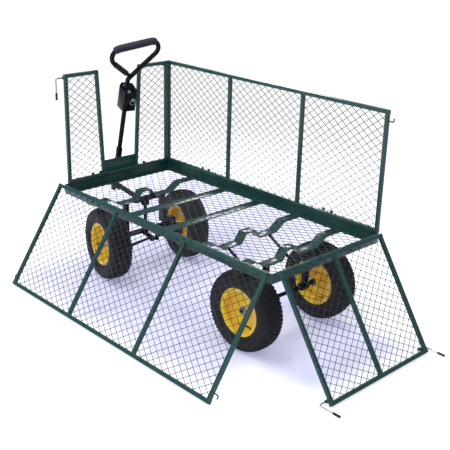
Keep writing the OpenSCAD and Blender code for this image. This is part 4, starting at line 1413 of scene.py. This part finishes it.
    def valve(self) -> Shape:
        """The valve stem with its cap, in the dish of the rim."""
        shape = Shape()
        place = self.place()
        points = [place @ Vector((x * MM, y * MM, 0)) for x, y in ((77, 14), (70, 15), (63, 19), (58, 25))]
        path = rounded_path(points, [8 * MM, 12 * MM], 5)
        shape.tube(path, 3.0 * MM, 14)
        end, way = path[-1], (path[-1] - path[-2]).normalized()
        cap = millimetres((-2, 3.2), (-1.4, 4.0), (6, 4.0), (7, 3.0))
        shape.tube([end + way * along for along, _ in cap], 4.0 * MM, 16, radii=[radius for _, radius in cap])
        return shape

    def bearing_shape(self) -> Shape:
        """The bearings' shells with their seals, at both ends of the hub."""
        shape = Shape()
        place = self.place()
        for low, high, face in ((-38 * MM, -27 * MM, -1), (1 * MM, 12 * MM, 1)):
            ends = (high, low) if face > 0 else (low, high)
            dip = ends[0] - face * 0.9 * MM
            shape.lathe([(8.06 * MM, ends[0]), (10.6 * MM, ends[0]), (11.0 * MM, dip), (14.6 * MM, dip),
                         (15.0 * MM, ends[0]), (17.2 * MM, ends[0]), (17.45 * MM, ends[0] - face * 0.4 * MM),
                         (17.45 * MM, ends[1]), (8.06 * MM, ends[1])], place, 48)
        return shape

    def build(self) -> None:
        """Builds the wheel's pieces."""
        body = f"{self.name}_wheel"
        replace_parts(self.tyre().build(f"{self.name}_tyre_tread", TYRE, body, 28.0), f"{self.name}_tyre")
        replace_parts(self.rim_shape().build(f"{self.name}_rim_pressed", YELLOW, body, 34.0),
                    f"{self.name}_rim")
        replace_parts(self.bearing_shape().build(f"{self.name}_bearing_shells", ZINC, body),
                    f"{self.name}_bearings")
        self.valve().build(f"{self.name}_valve", VINYL, body)


# --------------------------------------------------------------------------
# Latches
# --------------------------------------------------------------------------

@dataclass
class Latch:
    """A cranked rod in an end gate's lug, with a dipped sleeve on its lever.

    Attributes:
        side: the end gate's side.
        sign: the end of the gate along its own frame.
        name: the latch's name.
        turn: the lever's angle from straight down, in degrees.
        inner: where the rod's inner end lies along the gate.
        plane: where the lever hangs along the gate.
        length: the lever's length.
    """

    side: Side
    sign: int
    name: str
    turn: float
    inner: float = 256.5 * MM
    plane: float = 297 * MM
    length: float = 88 * MM

    def place(self) -> Matrix:
        """The latch's frame, with its origin at the gate's middle on the pivot's line."""
        return (self.side.place() @ Matrix.Translation((0, 10 * MM, 448.5 * MM))
                @ Matrix.Rotation(-math.radians(self.turn), 4, "X"))

    def build(self) -> None:
        """Builds the rod and the sleeve."""
        place = self.place()
        x, low = self.sign * self.plane, -self.length
        points = [Vector((self.sign * self.inner, 0, 0)), Vector((x, 0, 0)), Vector((x, 0, low + 4 * MM))]
        rod = Shape()
        rod.tube([place @ p for p in rounded_path(points, [6 * MM], 8)], 2.5 * MM, 16)
        collar = Matrix.Translation((self.sign * (self.inner + 1.5 * MM), 0, 0))
        rod.lathe(millimetres((0.5, -2), (4.0, -2), (4.5, -1.4), (4.5, 1.4), (4.0, 2), (0.5, 2)),
                  place @ collar @ Matrix.Rotation(math.radians(90), 4, "Z"), 24)
        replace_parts(rod.build(f"{self.name}_bent_rod", ZINC, self.name), f"{self.name}_rod")
        groove = ((0, 4.5), (0.8, 4.1), (1.8, 4.1), (2.6, 4.5))
        grooves = [(start + z, r) for start in (9, 15, 21) for z, r in groove]
        steps = millimetres((0, 2.6), (0.8, 3.8), (2.4, 4.5), *grooves, (28.6, 4.4), (29.6, 3.7), (30, 2.7))
        path = [place @ Vector((x, 0, low + z)) for z, _ in steps]
        sleeve = Shape()
        sleeve.tube(path, 4.5 * MM, 20, radii=[r for _, r in steps])
        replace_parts(sleeve.build(f"{self.name}_sleeve", VINYL, self.name, 50.0), f"{self.name}_grip")


# --------------------------------------------------------------------------
# Handle
# --------------------------------------------------------------------------

@dataclass
class Handle:
    """The pull handle: shaft, hitch head, bent grip tube with foam and sleeve, and the hitch pin.

    Attributes:
        length: from the pivot to the top of the hitch head.
        tube: the round tube's radius.
        foam: the foam grip's radius.
        corners: corners of the grip tube's path, across and up from the head's top, in millimetres.
        foot: where the bolt crosses the tube.
        leg_foot: where the leg's spigot ends inside the tube's first straight.
        bends: bend radii at the inner corners, in millimetres.
        steps: steps in each bend.
        head: half the hitch head's depth, in millimetres.
    """

    length: float = 540 * MM
    tube: float = 10.0 * MM
    foam: float = 16 * MM
    corners: tuple[Pair, ...] = ((-7, -34), (-3, 19), (189.2, 206.4), (-143.5, 149.7), (-12.3, 45.5))
    foot: Pair = (-6.3, -25.0)
    leg_foot: Pair = (8.0, 29.4)
    bends: tuple[float, ...] = (20, 33.7, 39)
    steps: int = 24
    head: float = 29

    def place(self) -> Matrix:
        """The handle's frame: origin at its pivot, Z along the shaft, X backward, Y across."""
        tilt = joint("handle_tilt")
        pin = Vector(joint("hitch_pin_slide")["axis"]).normalized()
        across = -Vector(tilt["axis"]).normalized()
        along = pin.cross(across)
        return Matrix.Translation(tilt["pos_m"]) @ Matrix((pin, across, along)).transposed().to_4x4()

    def at(self, a: float, b: float, x: float = 0.0) -> Vector:
        """A point across and up from the hitch head's top, in millimetres."""
        return self.place() @ Vector((x * MM, a * MM, self.length + b * MM))

    def path(self) -> list[Vector]:
        """The grip tube's centre line."""
        points = [self.at(a, b) for a, b in self.corners]
        return rounded_path(points, [b * MM for b in self.bends], self.steps)

    def straight(self, first: int) -> tuple[Vector, Vector]:
        """The ends of the straight that follows a corner of the path."""
        path = self.path()
        start = path[(self.steps + 1) * first]
        stop = path[(self.steps + 1) * first + 1] if first < len(self.bends) else path[-1]
        return start, stop

    def stretch(self, first: int, before: float, after: float, count: int) -> list[Vector]:
        """Points along the straight after a corner and along a part of the bends beside it.

        Args:
            first: the corner before the straight.
            before: how far it reaches back into the bend before, in metres.
            after: how far it reaches into the bend after.
            count: how many steps it has.

        Returns:
            The points.
        """
        path = self.path()
        run = [0.0]
        for a, b in zip(path, path[1:]):
            run.append(run[-1] + (b - a).length)
        low = run[(self.steps + 1) * first] - before
        high = run[(self.steps + 1) * first + 1] + after
        made = []
        for k in range(count + 1):
            want = low + (high - low) * k / count
            i = next(j for j in range(1, len(run)) if run[j] >= want - 1e-9)
            made.append(path[i - 1].lerp(path[i], (want - run[i - 1]) / (run[i] - run[i - 1])))
        return made

    def build(self) -> None:
        """Builds the handle's pieces."""
        tube = Shape()
        tube.tube(self.path(), self.tube, 28)
        leg, foot = self.at(*self.corners[-1]), self.at(*self.leg_foot)
        spigot = self.tube - 2 * MM
        axis = (foot - leg).normalized()
        tube.tube([leg - axis * 2 * MM, foot], spigot, 24)
        up = (self.at(0, 0, 1) - self.at(0, 0, 0)).normalized()
        side = axis.cross(up)
        middle = foot - axis * self.tube
        ring = []
        for k in range(26):
            a = 2 * math.pi * k / 26
            deep = self.tube - math.sqrt(self.tube ** 2 - (spigot * math.cos(a)) ** 2)
            ring.append(middle + axis * deep + (up * math.cos(a) + side * math.sin(a)) * (spigot + 0.4 * MM))
        tube.weld(ring, 1.6 * MM)
        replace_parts(tube.build("grip_bent_tube", BLACK, "grip_assembly", 40.0), "grip_tube")
        self.build_foam()
        self.build_sleeve()
        self.build_pin()
        eased_copy("handle_shaft", "handle_shaft_eased", BLACK, "handle_assembly", 1.2 * MM)
        eased_copy("hitch_head", "hitch_head_folded", BLACK, "handle_assembly", 0.9 * MM)
        bolt = Shape()
        for sign in (-1, 1):
            at = self.place() @ Matrix.Translation(
                (sign * self.head * MM, self.foot[0] * MM, self.length + self.foot[1] * MM))
            turned = at @ Matrix.Rotation(math.radians(-90 * sign), 4, "Z")
            hexagon_nut(bolt, turned, 7.0 * MM, 6.0 * MM, 7.0 * MM)
        a, b = self.foot
        bolt.tube([self.at(a, b, -self.head - 0.4), self.at(a, b, self.head + 0.4)], 4.0 * MM, 20)
        for sign in (-1, 1):
            near, far = sign * (self.tube / MM + 0.6), sign * (self.head - 3)
            bolt.tube([self.at(a, b, near), self.at(a, b, far)], 6.5 * MM, 24)
        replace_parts(bolt.build("grip_bolt_and_nut", ZINC, "handle_assembly"), "grip_bolt")

    def build_foam(self) -> None:
        """The foam grip, a little fuller at its middle, with its ends rolled in."""
        wrap = math.radians(38.0)
        steps = 72
        path = self.stretch(2, wrap * self.bends[1] * MM, wrap * self.bends[2] * MM, steps)
        length = sum((b - a).length for a, b in zip(path, path[1:]))
        radii = []
        bore = self.tube + 0.4 * MM
        for k in range(steps + 1):
            t = k / steps
            end = min(t, 1 - t) * length
            roll = math.sqrt(max(0.0, 1 - (1 - min(1.0, end / (5 * MM))) ** 2))
            swell = 0.5 * MM * math.sin(math.pi * t) + 0.12 * MM * math.sin(37 * t)
            radii.append(bore + (self.foam - 0.5 * MM - bore) * roll + swell * roll)
        grip = Shape()
        grip.tube(path, self.foam, 40, radii=radii)
        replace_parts(grip.build("grip_foam_roll", FOAM, "grip_assembly", 60.0), "grip_foam")

    def build_sleeve(self) -> None:
        """The ribbed sleeve on the tube's last straight."""
        start, stop = self.straight(3)
        full = (stop - start).length
        first, last = 6 * MM / full, 1 - 0.5 * MM / full
        path, radii = [], []
        steps = 60
        for k in range(steps + 1):
            t = k / steps
            path.append(start.lerp(stop, first + (last - first) * t))
            end = 1.2 * MM if k in (0, steps) else 0.0
            rib = 0.35 * MM if (k // 3) % 2 else 0.0
            radii.append(self.tube + 2 * MM - end - rib)
        shape = Shape()
        shape.tube(path, self.tube + 2 * MM, 32, radii=radii)
        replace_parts(shape.build("grip_sleeve_ribbed", VINYL, "grip_assembly", 50.0), "grip_sleeve")

    def build_pin(self) -> None:
        """The hitch pin with its head and its pull ring."""
        shape = Shape()
        a, b, x0 = 17.5, -69.0, self.head
        ends = ((-x0 - 10, 3.4), (-x0 - 8.4, 5.0), (x0 + 0.4, 5.0))
        shape.tube([self.at(a, b, x) for x, _ in ends], 5 * MM, 24, radii=[r * MM for _, r in ends])
        head = ((x0 + 0.5, 8.0), (x0 + 1.2, 9.0), (x0 + 3.6, 9.0), (x0 + 4.5, 7.6))
        shape.tube([self.at(a, b, x) for x, _ in head], 9 * MM, 28, radii=[r * MM for _, r in head])
        middle = b - 10.0
        ring = [self.at(a + 13 * math.sin(t), middle + 13 * math.cos(t), x0 + 4)
                for t in (2 * math.pi * k / 48 for k in range(48))]
        shape.tube(ring, 1.5 * MM, 12, closed=True)
        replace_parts(shape.build("hitch_pin_and_ring", ZINC, "hitch_pin_body"), "hitch_pin")


# --------------------------------------------------------------------------
# Running gear
# --------------------------------------------------------------------------

@dataclass
class RunningGear:
    """The axles, the steering and the fixings below the bed.

    Attributes:
        ease: the easing of the heavy black parts' edges.
        black: solids in black coat, with the body that each rides on.
        zinc: the same for plated solids.
    """

    ease: float = 0.9 * MM
    black: tuple[tuple[str, str], ...] = (
        ("front_hangers", "chassis"), ("front_axle_beam", "chassis"), ("steering_bridge", "chassis"),
        ("rear_axle_brackets", "chassis"), ("rear_axle", "chassis"), ("rear_struts", "chassis"),
        ("drawbar", "drawbar_assembly"), ("steering_column", "drawbar_assembly"),
        ("left_knuckle", "left_knuckle_assembly"), ("right_knuckle", "right_knuckle_assembly"),
        ("left_tie_rod", "left_tie_rod_link"), ("right_tie_rod", "right_tie_rod_link"))
    zinc: tuple[tuple[str, str], ...] = (
        ("kingpins", "chassis"), ("hinge_pins", "chassis"), ("handle_pivot_bolt", "drawbar_assembly"))

    def build(self) -> None:
        """Builds the eased parts and the fixings."""
        for node, body in self.black:
            eased_copy(node, f"{node}_eased", BLACK, body, self.ease)
        for node, body in self.zinc:
            eased_copy(node, f"{node}_eased", ZINC, body, 0.5 * MM)
        self.nuts("rear_axle_nuts", "chassis", ("rear_left", "rear_right"))
        self.nuts("left_stub_nut", "left_knuckle_assembly", ("front_left",))
        self.nuts("right_stub_nut", "right_knuckle_assembly", ("front_right",))

    def nuts(self, node: str, body: str, wheels: Iterable[str]) -> None:
        """Axle nuts with their washers.

        Args:
            node: the solid they stand for.
            body: the body they ride on.
            wheels: the wheels they hold.
        """
        shape = Shape()
        for name in wheels:
            side = -1 if name.endswith("left") else 1
            place = Wheel(name, side).place() @ Matrix.Translation((0, 12.5 * MM, 0))
            hexagon_nut(shape, place, 12 * MM, 9 * MM, 15 * MM)
        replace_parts(shape.build(f"{node}_chamfered", ZINC, body), node)


# --------------------------------------------------------------------------
# Studio
# --------------------------------------------------------------------------

@dataclass
class Studio:
    """The plain pale floor with a soft shadow painted under the cart, the soft lights and the camera.

    Attributes:
        azimuth: the camera's turn about the cart in degrees.
        elevation: the camera's height angle in degrees.
        roll: the camera's roll in degrees.
        distance: from the target to the camera.
        target: the point it looks at.
        lens: the focal length in millimetres on a 36 mm sensor.
        lift: how much the camera's view of the floor is brightened.
        shade: the same in the soft shadow painted on the floor under and behind the cart, a lower lavender
            lift.
        shades: centre, half size and softness of each part of that painted shadow.
    """

    azimuth: float = 46.0642
    elevation: float = 20.8872
    roll: float = 1.4808
    distance: float = 3.4633
    target: tuple[float, float, float] = (0.0113, 0.067, 0.298)
    lens: float = 68.06
    lift: float = 0.62
    shade: tuple[float, float, float] = (0.23, 0.24, 0.38)
    # Soft boxes of painted shadow on the floor, under and behind the cart.
    shades: tuple[tuple[Pair, Pair, float], ...] = (
        ((-0.10, -0.06), (0.52, 0.34), 0.20), ((0.55, 0.0), (0.16, 0.18), 0.16),
        ((-0.72, 0.62), (0.42, 0.30), 0.40))

    def camera(self) -> None:
        """Makes the scene's camera."""
        az, el, roll = (math.radians(v) for v in (self.azimuth, self.elevation, self.roll))
        back = Vector((math.sin(az) * math.cos(el), -math.cos(az) * math.cos(el), math.sin(el)))
        right = Vector((0, 0, 1)).cross(back).normalized()
        up = back.cross(right)
        rolled = right * math.cos(roll) + up * math.sin(roll)
        upright = up * math.cos(roll) - right * math.sin(roll)
        data = bpy.data.cameras.new("camera")
        data.lens = self.lens
        data.sensor_width = 36.0
        data.clip_start, data.clip_end = 0.05, 60.0
        made = bpy.data.objects.new("camera", data)
        bpy.context.scene.collection.objects.link(made)
        made.matrix_world = (Matrix.Translation(Vector(self.target) + back * self.distance)
                             @ Matrix((rolled, upright, back)).transposed().to_4x4())
        bpy.context.scene.camera = made

    def lamp(self, name: str, place: tuple[float, float, float], size: float, power: float,
             colour: tuple[float, float, float]) -> None:
        """A soft square lamp that faces the cart.

        Args:
            name: the lamp's name.
            place: where it stands.
            size: its side.
            power: its power in watts.
            colour: its colour.
        """
        data = bpy.data.lights.new(name, "AREA")
        data.shape = "SQUARE"
        data.size = size
        data.energy = power
        data.color = colour
        made = bpy.data.objects.new(name, data)
        bpy.context.scene.collection.objects.link(made)
        made.location = place
        made.rotation_mode = "QUATERNION"
        made.rotation_quaternion = (Vector((0, 0, 0.3)) - Vector(place)).to_track_quat("-Z", "Y")

    def floor(self) -> None:
        """The pale floor, with a soft lavender shadow painted around the cart."""
        mesh = bpy.data.meshes.new("floor")
        half = 30.0
        mesh.from_pydata([(-half, -half, 0.0), (half, -half, 0.0), (half, half, 0.0), (-half, half, 0.0)], [],
                         [(0, 1, 2, 3)])
        material = bpy.data.materials.new("pale_floor")
        material.use_nodes = True
        tree = material.node_tree
        link = tree.links.new
        shader = tree.nodes["Principled BSDF"]
        shader.inputs["Roughness"].default_value = 0.9
        shader.inputs["Base Color"].default_value = (0.74, 0.74, 0.86, 1.0)
        shader.inputs["Specular IOR Level"].default_value = 0.1
        glow = tree.nodes.new("ShaderNodeEmission")
        seen = tree.nodes.new("ShaderNodeLightPath")
        place = tree.nodes.new("ShaderNodeTexCoord")
        # Painted shadow: soft boxes under and behind the cart where the camera's lift drops to a lavender
        # tint.
        shade = None
        box = soft_box_group()
        for centre, half, soft in self.shades:
            patch = tree.nodes.new("ShaderNodeGroup")
            patch.node_tree = box
            patch.inputs["Centre"].default_value = (*centre, 0.0)
            patch.inputs["Half"].default_value = (*half, 0.0)
            patch.inputs["Soft"].default_value = soft
            link(place.outputs["Object"], patch.inputs["Vector"])
            if shade is None:
                shade = patch.outputs["Mask"]
                continue
            top = tree.nodes.new("ShaderNodeMath")
            top.operation = "MAXIMUM"
            link(shade, top.inputs[0])
            link(patch.outputs["Mask"], top.inputs[1])
            shade = top.outputs[0]
        # The glow is the full lift outside the painted shadow and the lavender shade colour inside it.
        tint = tree.nodes.new("ShaderNodeMix")
        tint.data_type = "RGBA"
        tint.inputs[6].default_value = (self.lift, self.lift, self.lift, 1.0)
        tint.inputs[7].default_value = (*self.shade, 1.0)
        link(shade, tint.inputs["Factor"])
        link(tint.outputs[2], glow.inputs["Color"])
        add = tree.nodes.new("ShaderNodeAddShader")
        away = tree.nodes.new("ShaderNodeVectorMath")
        away.operation = "LENGTH"
        far = tree.nodes.new("ShaderNodeMapRange")
        far.interpolation_type = "SMOOTHSTEP"
        far.inputs["From Min"].default_value = 1.5
        far.inputs["From Max"].default_value = 3.2
        white = tree.nodes.new("ShaderNodeEmission")
        blend = tree.nodes.new("ShaderNodeMixShader")
        share = tree.nodes.new("ShaderNodeMath")
        share.operation = "MULTIPLY"
        link(seen.outputs["Is Camera Ray"], glow.inputs["Strength"])
        link(shader.outputs[0], add.inputs[0])
        link(glow.outputs[0], add.inputs[1])
        link(place.outputs["Object"], away.inputs[0])
        link(away.outputs["Value"], far.inputs["Value"])
        link(far.outputs["Result"], share.inputs[0])
        link(seen.outputs["Is Camera Ray"], share.inputs[1])
        link(share.outputs[0], blend.inputs["Fac"])
        link(add.outputs[0], blend.inputs[1])
        link(white.outputs[0], blend.inputs[2])
        link(blend.outputs[0], tree.nodes["Material Output"].inputs["Surface"])
        mesh.materials.append(material)
        made = bpy.data.objects.new("floor", mesh)
        bpy.context.scene.collection.objects.link(made)

    def sky(self) -> None:
        """A plain bright surround, white to the camera and dimmer in reflections."""
        world = bpy.data.worlds.new("surround")
        world.use_nodes = True
        tree = world.node_tree
        link = tree.links.new
        ground = tree.nodes["Background"]
        ground.inputs["Color"].default_value = (0.94, 0.96, 1.0, 1.0)
        ground.inputs["Strength"].default_value = 0.60
        seen = tree.nodes.new("ShaderNodeBackground")
        seen.inputs["Strength"].default_value = 1.0
        mirrored = tree.nodes.new("ShaderNodeBackground")
        mirrored.inputs["Color"].default_value = (0.80, 0.88, 1.0, 1.0)
        mirrored.inputs["Strength"].default_value = 0.22
        path = tree.nodes.new("ShaderNodeLightPath")
        first = tree.nodes.new("ShaderNodeMixShader")
        second = tree.nodes.new("ShaderNodeMixShader")
        link(path.outputs["Is Glossy Ray"], first.inputs["Fac"])
        link(ground.outputs[0], first.inputs[1])
        link(mirrored.outputs[0], first.inputs[2])
        link(path.outputs["Is Camera Ray"], second.inputs["Fac"])
        link(first.outputs[0], second.inputs[1])
        link(seen.outputs[0], second.inputs[2])
        link(second.outputs[0], tree.nodes["World Output"].inputs["Surface"])
        bpy.context.scene.world = world

    def build(self) -> None:
        """Builds the whole studio."""
        bpy.context.scene.view_settings.view_transform = "Standard"
        self.camera()
        self.floor()
        self.sky()
        self.lamp("overhead", (-0.5, -0.9, 3.4), 1.5, 58.0, (1.0, 0.99, 0.97))
        self.lamp("near_fill", (1.6, -3.9, 2.2), 1.8, 34.0, (0.98, 0.98, 1.0))
        self.lamp("near_spark", (-0.6, -3.0, 2.6), 0.35, 13.0, (1.0, 1.0, 1.0))
        self.lamp("far_rim", (-2.4, 2.8, 2.2), 0.9, 30.0, (1.0, 1.0, 1.0))


# --------------------------------------------------------------------------
# Cart
# --------------------------------------------------------------------------

def main() -> None:
    """Builds the cart and the studio in order."""
    logging.basicConfig(level=logging.INFO, format="%(name)s: %(message)s")
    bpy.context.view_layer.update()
    long_half, end_half = 610 * MM, 272.5 * MM
    long_posts = (-602.75 * MM, -long_half / 3, long_half / 3, 602.75 * MM)
    end_post = 265.25 * MM
    LongGate(Side.LEFT, long_half, long_posts, reach=(22 * MM, 8.5 * MM)).build()
    LongGate(Side.RIGHT, long_half, long_posts).build()
    end_hinges = (-120 * MM, 120 * MM)
    EndGate(Side.REAR, end_half, (-end_post, 0.0, end_post), hinges=end_hinges,
            wires=WireMesh(turn=6.0)).build()
    NotchedGate(Side.FRONT, end_half, (-end_post, end_post), hinges=end_hinges).build()
    LoadBed().build()
    for name, side, turn in (("front_left", -1, 20.0), ("front_right", 1, 75.0), ("rear_left", -1, 126.0),
                             ("rear_right", 1, 140.0)):
        Wheel(name, side, turn=turn).build()
    lying = joint("rear_left_latch_turn")["range_deg"][1]
    Latch(Side.FRONT, -1, "front_left_latch", 0.0).build()
    Latch(Side.FRONT, 1, "front_right_latch", 0.0).build()
    Latch(Side.REAR, 1, "rear_left_latch", lying).build()
    Latch(Side.REAR, -1, "rear_right_latch", lying).build()
    Handle().build()
    RunningGear().build()
    Studio().build()
    LOG.info("cart built")


if __name__ == "__main__":
    main()
